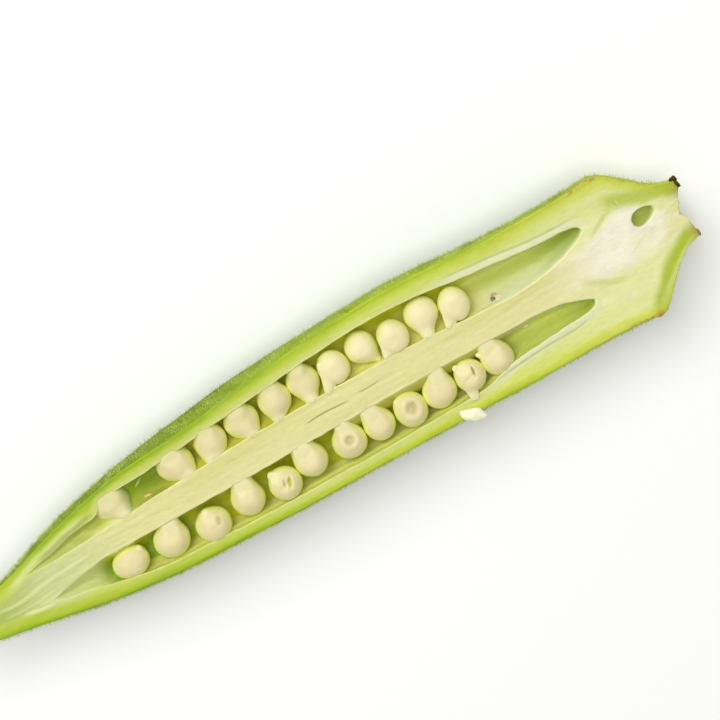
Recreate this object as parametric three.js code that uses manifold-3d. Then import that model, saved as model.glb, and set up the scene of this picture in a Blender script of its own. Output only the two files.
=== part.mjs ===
// Half of an okra pod, cut lengthwise and lying on its back with the cut face up, and its two rows of seeds.
// Millimetres, +Z up. X runs along the pod from the tip (-X) to the stem (+X), and the origin is the
// middle of the bounding box's underside.

import * as THREE from "three";
import { mergeVertices } from "three/addons/utils/BufferGeometryUtils.js";
import Module from "manifold-3d";

const solids = await Module();
solids.setup();

// Driving dimensions
const podLength = 120;
const ridgeCount = 5;
const ridgeSharpness = 1.5; // 1 gives a knife-edged crest, 2 a round one
const restDepth = 10.75; // the lowest ridge is flattened this far below the cut face
const ringSpacing = 3.25; // between the cross-sections that the skin is drawn through
const firstRing = 0.04; // how far from the tip the first of them lies
const tipRings = [0.12, 0.3, 0.7, 1.2, 2]; // extra ones where the tip rounds off
const shoulderRings = [109.5, 110.3, 110.9, 111.5, 112.2, 113.2]; // and where the stem begins
const skinSegments = 30;
const chamberRingSpacing = 4;
const chamberEndRings = [1.9, 0.8]; // extra ones, this far before a chamber's stem end
const chamberWallPoints = 18;
const chamberMouthHeight = 1.5; // the cutting shape reaches this far above the cut face
const clearance = 0.3; // between a seed and the flesh around it
const beakRadius = 0.55; // of the point by which a seed hangs on the core
const beakLength = 0.45;
const beakRise = 0.2;
const seedSegments = 12;
const seedRings = 8;
const seedShoulder = THREE.MathUtils.degToRad(52); // where the round body gives way to the beak

// Profiles along the pod: [distance from the tip, size there]
const halfWidth = smooth([
  [0, 0], [0.3, 0.7], [1.2, 1.15], [3, 1.5], [8, 2.35], [15.7, 3.75], [21, 5.1], [26.4, 6.45], [34.4, 7.9],
  [39.7, 8.55], [47.7, 9.2], [55.7, 9.8], [66.4, 10.25], [80, 10.55], [93, 10.35], [101, 10.3], [107, 10.5],
  [110.3, 10.6], [111.8, 9.9], [114.4, 7.5], [117.1, 5.15], [podLength, 4.1],
]);
const halfDepth = smooth([
  [0, 0], [0.3, 0.6], [1.2, 1.05], [3, 1.45], [8, 2.5], [15.7, 4.3], [26.4, 7.1], [34.4, 8.8], [40, 9.6],
  [47, 10.2], [55, 10.45], [90, 10.45], [100, 10.2], [107, 10.1], [110.3, 10.2], [111.8, 9.4], [114.4, 7.2],
  [117.1, 5.0], [podLength, 4.0],
]);
const centreLine = smooth([
  [0, -2], [10, -2.15], [15.7, -2.07], [26.4, -1.5], [39.7, -0.95], [55.7, -0.35], [66.4, 0], [80, 0.15],
  [101, -0.1], [podLength, 0],
]);
const ridgeHeight = smooth([
  [0, 0.03], [10, 0.1], [22, 0.18], [34, 0.15], [50, 0.11], [62, 0.0925], [85, 0.085], [97, 0.03],
  [podLength, 0.02],
]);

// The two open seed chambers: where the flesh stops beside the core, where it starts again at the wall,
// both measured out from the pod's axis, and how deep the chamber is.
const chambers = {
  left: {
    side: 1,
    from: 26.4,
    to: 105.9,
    inner: smooth([
      [26.4, 1.2], [31.7, 1.35], [38.4, 1.8], [45.1, 2.1], [50.4, 2.35], [61.1, 2.5], [74.4, 2.5],
      [79.7, 2.3], [85.1, 1.9], [90.4, 1.45], [95.7, 1.3], [101.1, 2.2], [103.7, 3.2], [105.1, 3.8],
      [105.9, 4.3],
    ]),
    outer: smooth([
      [26.4, 2.2], [31.7, 4.6], [38.4, 5.3], [45.1, 5.8], [50.4, 6.4], [61.1, 7.35], [66.4, 7.9],
      [74.4, 8.25], [79.7, 8.1], [85.1, 7.5], [90.4, 6.8], [95.7, 6.2], [101.1, 5.7], [103.7, 5.5],
      [105.1, 5.2], [105.9, 4.8],
    ]),
    depth: smooth([
      [26.4, 0.4], [29, 1.4], [31.7, 3], [36, 4.2], [45, 5.3], [60, 5.9], [80, 6], [95, 5], [101, 4],
      [104.5, 3], [105.9, 1.2],
    ]),
  },
  right: {
    side: -1,
    from: 21,
    to: 103.2,
    inner: smooth([
      [21, 3.2], [26.4, 2.5], [34.4, 2.3], [50.4, 2.4], [74.4, 2.3], [85.1, 2.4], [95.7, 2.6], [98.4, 2.9],
      [100.4, 3.45], [102.1, 4.1], [103.2, 4.6],
    ]),
    outer: smooth([
      [21, 4], [26.4, 5.4], [34.4, 6.8], [39.7, 7.2], [50.4, 7.7], [58.4, 7.9], [74.4, 8], [84.5, 7.95],
      [87, 7.4], [89.5, 6.8], [93, 6.4], [96, 6.15], [98.4, 6], [100.4, 5.9], [102.1, 5.6], [103.2, 5.1],
    ]),
    depth: smooth([
      [21, 0.3], [26.4, 0.9], [27.6, 1.4], [29, 3.4], [34, 4.4], [45, 5.4], [60, 5.9], [80, 6], [95, 5],
      [100, 4], [102.4, 2.8], [103.2, 1.2],
    ]),
  },
};

// A chamber's cross-section, from the core's edge down, along the floor and up to the wall's edge:
// [share of the mouth's width, share of the depth]
const chamberOutline = [
  [0, 0], [-0.05, 0.15], [-0.07, 0.28], [0.155, 0.65], [0.4, 0.95], [0.62, 1], [0.88, 0.78], [1.06, 0.45],
  [1.09, 0.2], [1, 0],
];

// Each seed: [distance from the tip, distance out from the axis, height of its middle above the cut face,
// diameter, how far its beak leans towards the stem for each unit it reaches towards the core]
const seedRows = {
  left: [
    [33.5, 3.45, -2.1, 4.1, 0.5], [43.1, 4.0, -1.9, 4.6, 0.5], [49.0, 4.25, -1.8, 4.4, -0.9],
    [54.0, 4.55, -1.8, 4.5, 0.2], [59.0, 4.9, -1.6, 4.5, -0.15], [63.65, 5.15, -1.9, 4.4, 0],
    [68.15, 5.1, -0.9, 4.3, -0.95], [72.65, 5.4, -1.5, 4.3, 0.5], [77.05, 4.7, -0.7, 4.3, -0.7],
    [81.7, 5.2, -1.5, 4.4, -0.2], [86.5, 4.4, -0.9, 4.3, -0.55],
  ],
  right: [
    [31.6, 4.85, -1.4, 4.8, 0.8], [37.9, 4.9, -1.5, 4.9, 0.7], [43.9, 5.65, -1.1, 4.7, 0],
    [49.6, 5.2, -1.4, 4.6, 0], [54.95, 5.75, -0.9, 4.4, -0.65], [59.6, 4.9, -1.7, 4.4, -0.6],
    [65.2, 5.2, -1.4, 4.5, 0.35], [69.8, 5.2, -1.8, 4.2, -0.65], [74.4, 5.6, -0.9, 4.5, -0.7],
    [79.1, 5.2, -1.8, 4.5, 0.3], [83.55, 5.5, -0.8, 4.2, -0.6], [88.2, 5.05, -1.7, 4.4, -0.6],
  ],
};

// The small hollow that the cut opens in the stem end
const stemHollow = { x: 114.1, y: 2.1, size: [1.65, 1.05, 1.8] };

// A smooth curve through hand-placed points, as a function of the distance from the tip.
function smooth(points) {
  const slope = points.map((p, i) => {
    const before = points[Math.max(i - 1, 0)];
    const after = points[Math.min(i + 1, points.length - 1)];
    return (after[1] - before[1]) / (after[0] - before[0]);
  });
  return (x) => {
    const last = points.length - 1;
    if (x <= points[0][0]) return points[0][1];
    if (x >= points[last][0]) return points[last][1];
    const i = points.findIndex((p) => p[0] > x) - 1;
    const span = points[i + 1][0] - points[i][0];
    const t = (x - points[i][0]) / span;
    const rise = points[i + 1][1] - points[i][1];
    const bow = slope[i] * span - rise;
    const sag = rise - slope[i + 1] * span;
    return points[i][1] + t * rise + t * (1 - t) * ((1 - t) * bow + t * sag);
  };
}

// How far the skin stands out at an angle from straight down, where 1 is the skin at the cut face.
function ridgeFactor(angle, height) {
  const crest = (a) => 1 - Math.abs(Math.sin((ridgeCount * a) / 2)) ** ridgeSharpness;
  return (1 + height * crest(angle)) / (1 + height * crest(Math.PI / 2));
}

// A closed solid through a row of equal rings, each a list of [x, y, z], with a flat end at each side.
function loft(rings) {
  const count = rings[0].length;
  const positions = rings.flat(2);
  const index = [];
  for (let r = 0; r + 1 < rings.length; r++) {
    for (let k = 0; k < count; k++) {
      const a = r * count + k;
      const b = r * count + ((k + 1) % count);
      index.push(a, b, a + count, b, b + count, a + count);
    }
  }
  const lastRing = (rings.length - 1) * count;
  for (let k = 1; k + 1 < count; k++) {
    index.push(0, k + 1, k);
    index.push(lastRing, lastRing + k, lastRing + k + 1);
  }
  const geometry = new THREE.BufferGeometry();
  geometry.setAttribute("position", new THREE.Float32BufferAttribute(positions, 3));
  geometry.setIndex(index);
  return geometry;
}

// A closed solid from a geometry, whichever way round its faces were made.
function toSolid(geometry) {
  const bare = geometry.clone();
  bare.deleteAttribute("normal");
  bare.deleteAttribute("uv");
  const merged = mergeVertices(bare, 1e-4);
  const triVerts = new Uint32Array(merged.index.array);
  const build = () =>
    new solids.Manifold(
      new solids.Mesh({ numProp: 3, vertProperties: merged.attributes.position.array, triVerts }),
    );
  if (build().volume() > 0) return build();
  for (let i = 0; i < triVerts.length; i += 3) {
    [triVerts[i + 1], triVerts[i + 2]] = [triVerts[i + 2], triVerts[i + 1]];
  }
  return build();
}

// A solid's surface as a geometry with smooth normals.
function toGeometry(solid) {
  const made = solid.getMesh();
  const geometry = new THREE.BufferGeometry();
  geometry.setAttribute("position", new THREE.BufferAttribute(new Float32Array(made.vertProperties), 3));
  geometry.setIndex(new THREE.BufferAttribute(new Uint32Array(made.triVerts), 1));
  geometry.computeVertexNormals();
  return geometry;
}

// The places along the pod that get a ring: close together where the shape turns quickly.
function stations(from, to, step, extra = []) {
  const count = Math.round((to - from) / step);
  const even = Array.from({ length: count + 1 }, (unused, i) => from + ((to - from) * i) / count);
  return [...even, ...extra].sort((a, b) => a - b);
}

// One ring of the pod: the skin from one edge of the cut face, under the pod, to the other.
function podRing(x) {
  const ring = [];
  for (let k = 0; k <= skinSegments; k++) {
    const angle = Math.PI * (k / skinSegments - 0.5);
    const factor = ridgeFactor(angle, ridgeHeight(x));
    const y = centreLine(x) + halfWidth(x) * factor * Math.sin(angle);
    const z = Math.max(-halfDepth(x) * factor * Math.cos(angle), -restDepth);
    ring.push([x, y, Math.abs(angle) > Math.PI / 2 - 1e-6 ? 0 : z]);
  }
  return ring;
}

// The uncut half pod, with nothing taken out of it.
function halfPodBody() {
  const places = stations(firstRing, podLength, ringSpacing, [...tipRings, ...shoulderRings]);
  return toSolid(loft(places.map(podRing)));
}

// One ring of a chamber's cutting shape, which stands above the cut face so that it opens cleanly.
function chamberRing(chamber, x) {
  const inner = chamber.inner(x);
  const width = chamber.outer(x) - inner;
  const depth = chamber.depth(x);
  const outline = new THREE.SplineCurve(
    chamberOutline.map(([across, down]) => new THREE.Vector2(inner + across * width, -down * depth)),
  );
  const ring = outline.getPoints(chamberWallPoints - 1).map((p) => [x, chamber.side * p.x, p.y]);
  ring.push([x, chamber.side * chamber.outer(x), chamberMouthHeight]);
  ring.push([x, chamber.side * inner, chamberMouthHeight]);
  return ring;
}

function chamberCutter(chamber) {
  const endPlaces = chamberEndRings.map((before) => chamber.to - before);
  const places = stations(chamber.from, chamber.to, chamberRingSpacing, endPlaces);
  return toSolid(loft(places.map((x) => chamberRing(chamber, x))));
}

// A seed as a lathe round its own beak, which points along +Y, grown by a margin on every side.
function seedGeometry(diameter, margin) {
  const radius = diameter / 2 + margin;
  const beak = beakRadius + margin;
  const beakReach = diameter / 2 + beakLength + margin;
  const profile = [];
  for (let i = 0; i <= seedRings; i++) {
    const angle = -Math.PI / 2 + ((Math.PI - seedShoulder) * i) / seedRings;
    profile.push(new THREE.Vector2(i === 0 ? 0 : radius * Math.cos(angle), radius * Math.sin(angle)));
  }
  profile.push(new THREE.Vector2(beak, beakReach - beak * 0.4));
  profile.push(new THREE.Vector2(beak * 0.6, beakReach));
  profile.push(new THREE.Vector2(0, beakReach));
  return new THREE.LatheGeometry(profile, seedSegments);
}

// Where a seed goes and which way its beak points.
function seedPlacement(side, [x, out, height, diameter, lean]) {
  const beak = new THREE.Vector3(lean, -side, beakRise).normalize();
  const turn = new THREE.Quaternion().setFromUnitVectors(new THREE.Vector3(0, 1, 0), beak);
  return { position: new THREE.Vector3(x, side * out, height), turn, diameter };
}

const placedSeeds = Object.entries(seedRows).flatMap(([row, seeds]) =>
  seeds.map((seed, i) => ({
    name: `seed_${row}_${String(i + 1).padStart(2, "0")}`,
    ...seedPlacement(chambers[row].side, seed),
  })),
);

// The half pod: skin, wall, core and stem end in one piece, with its two chambers open to the cut face.
function halfPod() {
  let pod = halfPodBody();
  for (const chamber of Object.values(chambers)) pod = pod.subtract(chamberCutter(chamber));
  for (const seed of placedSeeds) {
    const room = seedGeometry(seed.diameter, clearance);
    room.applyMatrix4(new THREE.Matrix4().compose(seed.position, seed.turn, new THREE.Vector3(1, 1, 1)));
    pod = pod.subtract(toSolid(room));
  }
  const hollow = new THREE.SphereGeometry(1, 14, 10).scale(...stemHollow.size);
  hollow.translate(stemHollow.x, stemHollow.y, 0);
  return toGeometry(pod.subtract(toSolid(hollow)));
}

const podMaterial = new THREE.MeshStandardMaterial({ color: "#a9bf4c", roughness: 0.6, metalness: 0 });
const seedMaterial = new THREE.MeshStandardMaterial({ color: "#f1e5b0", roughness: 0.45, metalness: 0 });

const model = new THREE.Group();
const pod = new THREE.Mesh(halfPod(), podMaterial);
pod.name = "half_pod";
model.add(pod);
for (const seed of placedSeeds) {
  const mesh = new THREE.Mesh(seedGeometry(seed.diameter, 0), seedMaterial);
  mesh.name = seed.name;
  mesh.position.copy(seed.position);
  mesh.quaternion.copy(seed.turn);
  model.add(mesh);
}

// Stands the model on z = 0 with its bounding box centred on the origin.
const box = new THREE.Box3().setFromObject(model, true);
model.position.set(-(box.min.x + box.max.x) / 2, -(box.min.y + box.max.y) / 2, -box.min.z);

const okraPod = new THREE.Group();
okraPod.add(model);
export default okraPod;
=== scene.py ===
import math

import bpy
import numpy as np
from mathutils import Matrix, Vector, noise


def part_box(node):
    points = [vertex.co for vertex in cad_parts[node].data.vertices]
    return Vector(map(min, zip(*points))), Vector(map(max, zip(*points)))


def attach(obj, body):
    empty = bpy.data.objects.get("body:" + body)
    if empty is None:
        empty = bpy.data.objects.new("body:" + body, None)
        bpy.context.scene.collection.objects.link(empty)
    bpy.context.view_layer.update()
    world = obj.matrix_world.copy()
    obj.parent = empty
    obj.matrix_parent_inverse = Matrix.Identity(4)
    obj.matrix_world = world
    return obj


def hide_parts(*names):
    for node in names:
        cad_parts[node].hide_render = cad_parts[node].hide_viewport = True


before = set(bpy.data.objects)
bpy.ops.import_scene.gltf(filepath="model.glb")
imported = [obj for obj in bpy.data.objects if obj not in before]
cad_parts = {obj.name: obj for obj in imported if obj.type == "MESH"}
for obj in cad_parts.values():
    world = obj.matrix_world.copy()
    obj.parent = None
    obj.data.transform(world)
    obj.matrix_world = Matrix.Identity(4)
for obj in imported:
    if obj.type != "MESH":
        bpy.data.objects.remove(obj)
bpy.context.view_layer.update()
print("frame loaded:", len(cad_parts), "nodes")

mm = 0.001  # sizes below are in millimetres unless a note says otherwise
podLow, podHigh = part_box("half_pod")
cutHeight = podHigh.z / mm  # the cut face, above the table


def smoothCurve(points):
    # a smooth curve through given [distance from the tip, value] points
    places, values = np.array(points, float).T
    slopes = np.gradient(values, places)
    slopes[1:-1] = (values[2:] - values[:-2]) / (places[2:] - places[:-2])

    def at(x):
        x = np.clip(x, places[0], places[-1])
        i = np.clip(np.searchsorted(places, x, side="right") - 1, 0, len(places) - 2)
        span = places[i + 1] - places[i]
        t = (x - places[i]) / span
        rise = values[i + 1] - values[i]
        bow = slopes[i] * span - rise
        sag = rise - slopes[i + 1] * span
        return values[i] + t * rise + t * (1 - t) * ((1 - t) * bow + t * sag)

    return at


def smoothStep(low, high, x):
    t = np.clip((x - low) / (high - low), 0, 1)
    return t * t * (3 - 2 * t)


def grain(points, seed=0.0):
    # soft noise between about -1 and 1 at each point
    shape = points.shape[:-1]
    flat = points.reshape(-1, 3) + seed * 17.3
    return np.array([noise.noise(Vector(p)) for p in flat]).reshape(shape)


def wobble(x, wavelength, seed):
    zero = np.zeros_like(x)
    return grain(np.stack([x / wavelength, zero + seed * 3.7, zero], axis=-1))


def bell(x):
    return np.exp(-(x**2))


def newObject(name, data):
    made = bpy.data.objects.new(name, data)
    bpy.context.scene.collection.objects.link(made)
    return made


def addMask(mesh, name, values):
    # a value at each point, for the materials
    made = mesh.attributes.new(name, "FLOAT", "POINT")
    made.data.foreach_set("value", np.asarray(values, np.float32).ravel())


def meshObject(name, points, faces, materials=(), faceMaterials=None, masks=None):
    # points in millimetres in the row's frame; the object stays at the origin
    mesh = bpy.data.meshes.new(name)
    mesh.from_pydata((np.asarray(points) * mm).tolist(), [], faces)
    for material in materials:
        mesh.materials.append(material)
    if faceMaterials is not None:
        mesh.polygons.foreach_set("material_index", np.asarray(faceMaterials, np.int32))
    for key, values in (masks or {}).items():
        addMask(mesh, key, values)
    mesh.polygons.foreach_set("use_smooth", np.ones(len(mesh.polygons), bool))
    mesh.update()
    return newObject(name, mesh)


def ringFaces(starts, count):
    # quads between closed rings of points that begin at these numbers
    return [
        (a + k, a + (k + 1) % count, b + (k + 1) % count, b + k)
        for a, b in zip(starts, starts[1:])
        for k in range(count)
    ]


def fanFaces(start, count, point, turnedRound=False):
    # triangles from a closed ring to one point
    faces = [(start + k, start + (k + 1) % count, point) for k in range(count)]
    return [face[::-1] for face in faces] if turnedRound else faces


def srgb(red, green, blue):
    # a screen colour, 0 to 255, as the linear colour that shaders use
    def linear(c):
        c /= 255
        return c / 12.92 if c <= 0.04045 else ((c + 0.055) / 1.055) ** 2.4

    return (linear(red), linear(green), linear(blue), 1)


def setInput(socket, value):
    # value: a wire or a fixed value
    if isinstance(value, Wire):
        value.tree.links.new(value.socket, socket)
    else:
        socket.default_value = value


def addNode(tree, kind, inputs=None, **settings):
    # the new node's first output
    made = tree.nodes.new(kind)
    for key, value in settings.items():
        setattr(made, key, value)
    for key, value in (inputs or {}).items():
        setInput(made.inputs[key], value)
    return Wire(made)


def arithmetic(operation, turnedRound=False):
    # what one sign of arithmetic does to a wire
    def work(wire, other=0.0):
        a, b = (other, wire) if turnedRound else (wire, other)
        return addNode(wire.tree, "ShaderNodeMath", {0: a, 1: b}, operation=operation)

    return work


class Wire:
    # an output in a node tree; arithmetic with it adds nodes, and a | b is the larger of the two
    __add__ = arithmetic("ADD")
    __sub__ = arithmetic("SUBTRACT")
    __rsub__ = arithmetic("SUBTRACT", True)
    __mul__ = arithmetic("MULTIPLY")
    __truediv__ = arithmetic("DIVIDE")
    __or__ = arithmetic("MAXIMUM")
    __abs__ = arithmetic("ABSOLUTE")

    def __init__(self, node, key=0):
        self.node = node
        self.socket = node.outputs[key]
        self.tree = node.id_data

    def __getitem__(self, key):
        # another output of the same node
        return Wire(self.node, key)

    def fade(self, start, end, low=0.0, high=1.0, kind="SMOOTHSTEP"):
        # low where the wire's value is start, high where it is end
        inputs = {"Value": self, 1: start, 2: end, 3: low, 4: high}
        return addNode(self.tree, "ShaderNodeMapRange", inputs, interpolation_type=kind)


def newGroup(name, kind, inputs, output, outputKind):
    # a node group, what comes in, and where it goes out; inputs: each one's value, None for a geometry
    group = bpy.data.node_groups.new(name, kind)
    for key, value in inputs.items():
        valueKind = {float: "Float", int: "Int"}.get(type(value), "Geometry")
        made = group.interface.new_socket(key, in_out="INPUT", socket_type="NodeSocket" + valueKind)
        if value is not None:
            made.default_value = value
    group.interface.new_socket(output, in_out="OUTPUT", socket_type="NodeSocket" + outputKind)
    return group, Wire(group.nodes.new("NodeGroupInput")), group.nodes.new("NodeGroupOutput").inputs[0]


def streakGroup():
    # noise drawn out along the pod, shared by all the materials
    inputs = {"Scale": 1.0, "Stretch": 1.0, "Detail": 3.0, "Seed": 0.0}
    group, entry, leave = newGroup("streaks", "ShaderNodeTree", inputs, "Value", "Float")
    place = addNode(group, "ShaderNodeTexCoord")["Object"]
    parts = addNode(group, "ShaderNodeSeparateXYZ", {0: place})
    stretched = {"X": parts["X"] / entry["Stretch"], "Y": parts["Y"], "Z": parts["Z"]}
    inputs = {
        "Vector": addNode(group, "ShaderNodeCombineXYZ", stretched),
        "W": entry["Seed"],
        "Scale": entry["Scale"],
        "Detail": entry["Detail"],
        "Roughness": 0.6,
    }
    texture = addNode(group, "ShaderNodeTexNoise", inputs, noise_dimensions="4D")
    setInput(leave, texture["Fac"])
    return group


streaks = streakGroup()


class Paint:
    # a material in the making; its look holds its colours, 0 to 255 on screen, and its finish
    def __init__(self, name, look):
        self.material = bpy.data.materials.new(name)
        self.material.use_nodes = True
        self.tree = self.material.node_tree
        self.look = look

    def read(self, mask):
        return addNode(self.tree, "ShaderNodeAttribute", attribute_name=mask)["Fac"]

    def place(self):
        return addNode(self.tree, "ShaderNodeTexCoord")["Object"]

    def axis(self, name):
        return addNode(self.tree, "ShaderNodeSeparateXYZ", {0: self.place()})[name]

    def along(self):
        # distance from the tip, in mm
        return (self.axis("X") - podLow.x) / mm

    def streak(self, name):
        # look["streaks"]: (width of one in mm, how far it is drawn out along the pod, detail, seed) of each
        size, stretch, detail, seed = self.look["streaks"][name]
        inputs = {"Scale": 1 / (size * mm), "Stretch": stretch, "Detail": detail, "Seed": seed}
        return addNode(self.tree, "ShaderNodeGroup", inputs, node_tree=streaks)

    def mix(self, amount, a, b, mode="MIX"):
        # a and b: wires, or names of colours in the look
        a, b = [srgb(*self.look[c]) if isinstance(c, str) else c for c in (a, b)]
        inputs = {0: amount, 6: a, 7: b}
        return addNode(self.tree, "ShaderNodeMix", inputs, data_type="RGBA", blend_type=mode)[2]

    def layers(self, colour, *above):
        # above: (amount, colour) of each layer, from the lowest up
        for amount, over in above:
            colour = self.mix(amount, colour, over)
        return colour

    def ramp(self, value, stops):
        # stops: [(position, colour), ...]
        made = addNode(self.tree, "ShaderNodeValToRGB", {0: value})
        elements = made.node.color_ramp.elements
        while len(elements) < len(stops):
            elements.new(0.5)
        for element, (position, colour) in zip(elements, stops):
            element.position = position
            element.color = srgb(*colour)
        return made

    def finish(self, colour, rough, **heights):
        # look["bumps"]: (streak or one of the heights, distance in mm, strength) of each
        values = {"Base Color": colour, "Roughness": rough, "Specular IOR Level": self.look["shine"]}
        normal = {}
        for name, distance, strength in self.look.get("bumps", ()):
            height = heights[name] if name in heights else self.streak(name)
            inputs = {"Height": height, "Distance": distance * mm, "Strength": strength, **normal}
            normal = {"Normal": addNode(self.tree, "ShaderNodeBump", inputs)}
        if "glow" in self.look:
            # how much light spreads under the surface, each colour's share of it, and how far in mm
            weight, radius, reach = self.look["glow"]
            values["Subsurface Weight"] = weight
            values["Subsurface Radius"] = radius
            values["Subsurface Scale"] = reach * mm
        for key, value in {**values, **normal}.items():
            setInput(self.tree.nodes["Principled BSDF"].inputs[key], value)
        return self.material


view = {
    "roll": 29.65,  # degrees that the pod's axis rises towards the right
    "tilt": 15.0,  # degrees that the view leans over from straight down, towards +Y
    "distance": 300,
    "lens": 112.5,
    "sensor": 36,
    "aim": (71.72, 4.1),  # the point of the cut face in the middle of the view: along, across
}
viewTilt = math.radians(view["tilt"])
towardsView = Vector((0, math.sin(viewTilt), math.cos(viewTilt)))


def addCamera():
    roll = math.radians(view["roll"])
    along = Vector((1, 0, 0))
    across = towardsView.cross(along)
    right = math.cos(roll) * along - math.sin(roll) * across
    up = math.sin(roll) * along + math.cos(roll) * across
    aim = Vector(toFrame(*view["aim"], 0)) * mm
    camera = bpy.data.cameras.new("camera")
    camera.lens = view["lens"]
    camera.sensor_width = view["sensor"]
    camera.clip_start = 0.01
    place = Matrix((right, up, towardsView)).transposed().to_4x4()
    place.translation = aim + towardsView * view["distance"] * mm
    made = newObject("camera", camera)
    made.matrix_world = place
    bpy.context.scene.camera = made


podShape = {
    "length": (podHigh.x - podLow.x) / mm,
    "halfWidth": [
        (0, 0), (0.3, 0.7), (1.2, 1.15), (3, 1.5), (8, 2.35), (15.7, 3.75), (21, 5.1), (26.4, 6.45),
        (34.4, 7.9), (39.7, 8.55), (47.7, 9.2), (55.7, 9.8), (66.4, 10.25), (80, 10.55), (93, 10.35),
        (101, 10.3), (107, 10.5), (110.3, 10.6), (111.8, 9.9), (114.4, 7.5), (117.1, 5.15), (120, 4.1),
    ],
    "halfDepth": [
        (0, 0), (0.3, 0.6), (1.2, 1.05), (3, 1.45), (8, 2.5), (15.7, 4.3), (26.4, 7.1), (34.4, 8.8),
        (40, 9.6), (47, 10.2), (55, 10.45), (90, 10.45), (100, 10.2), (107, 10.1), (110.3, 10.2),
        (111.8, 9.4), (114.4, 7.2), (117.1, 5.0), (120, 4.0),
    ],
    "centreLine": [
        (0, -2), (10, -2.15), (15.7, -2.07), (26.4, -1.5), (39.7, -0.95), (55.7, -0.35), (66.4, 0),
        (80, 0.15), (101, -0.1), (120, 0),
    ],
    "ridgeHeight": [
        (0, 0.03), (10, 0.1), (22, 0.18), (34, 0.15), (50, 0.11), (62, 0.0925), (85, 0.085),
        (97, 0.03), (120, 0.02),
    ],
    # on the far side the skin swells out under a rim that lies further in
    "farRimInset": [
        (0, 0), (35, 0), (41, 0.42), (47, 0.68), (54, 0.5), (61, 0.32), (68, 0.12), (76, 0), (120, 0),
    ],
    "farSwelling": [
        (0, 0), (35, 0), (41, 0.2), (47, 0.38), (54, 0.46), (61, 0.34), (68, 0.16), (76, 0.05), (120, 0),
    ],
    # how far the pod's stem half bends towards the near side
    "bend": [
        (0, 0), (78, 0), (84, 0.1), (89, 0.32), (101, 0.36), (108, 0.4), (111, 0.42), (114, 0.1), (116, 0),
        (120, 0),
    ],
    # how far the shoulder juts out on the near side
    "nearShoulder": [
        (0, 0), (107, 0), (109, 0.05), (111, 0.3), (112.2, 0.25), (114, 0.1), (116, 0), (120, 0),
    ],
    "ridgeCount": 5,
    "ridgeSharpness": 1.5,
    # where the cut end of the stem lies, for each distance across
    "stemEnd": [
        (-4.2, 120.0), (-2.4, 119.5), (-1.1, 119.2), (-0.25, 118.55), (0.9, 119.1), (2.3, 119.6),
        (3.4, 120.1), (4.2, 120.3),
    ],
    # rings of scars at the shoulder: (strength, distance from the tip, sway, half width, seed)
    "scars": [(1, 109.9, 0.35, 0.35, 16), (0.6, 108.3, 0.4, 0.3, 17)],
    "scarHeight": 0.16,
    "neckRibs": 0.14,
    "ribCount": 10,
    "ribsFrom": (111.5, 114.5),
    "tornFrom": 115.5,  # from here on the rings lean with the cut end
    # in degrees from straight down: over which the inset and the near shoulder come, and where the
    # swelling is greatest and how far it spreads
    "insetFrom": (62, 90),
    "shoulderFrom": (30, 80),
    "swellingAt": (69, 15),
}

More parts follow.
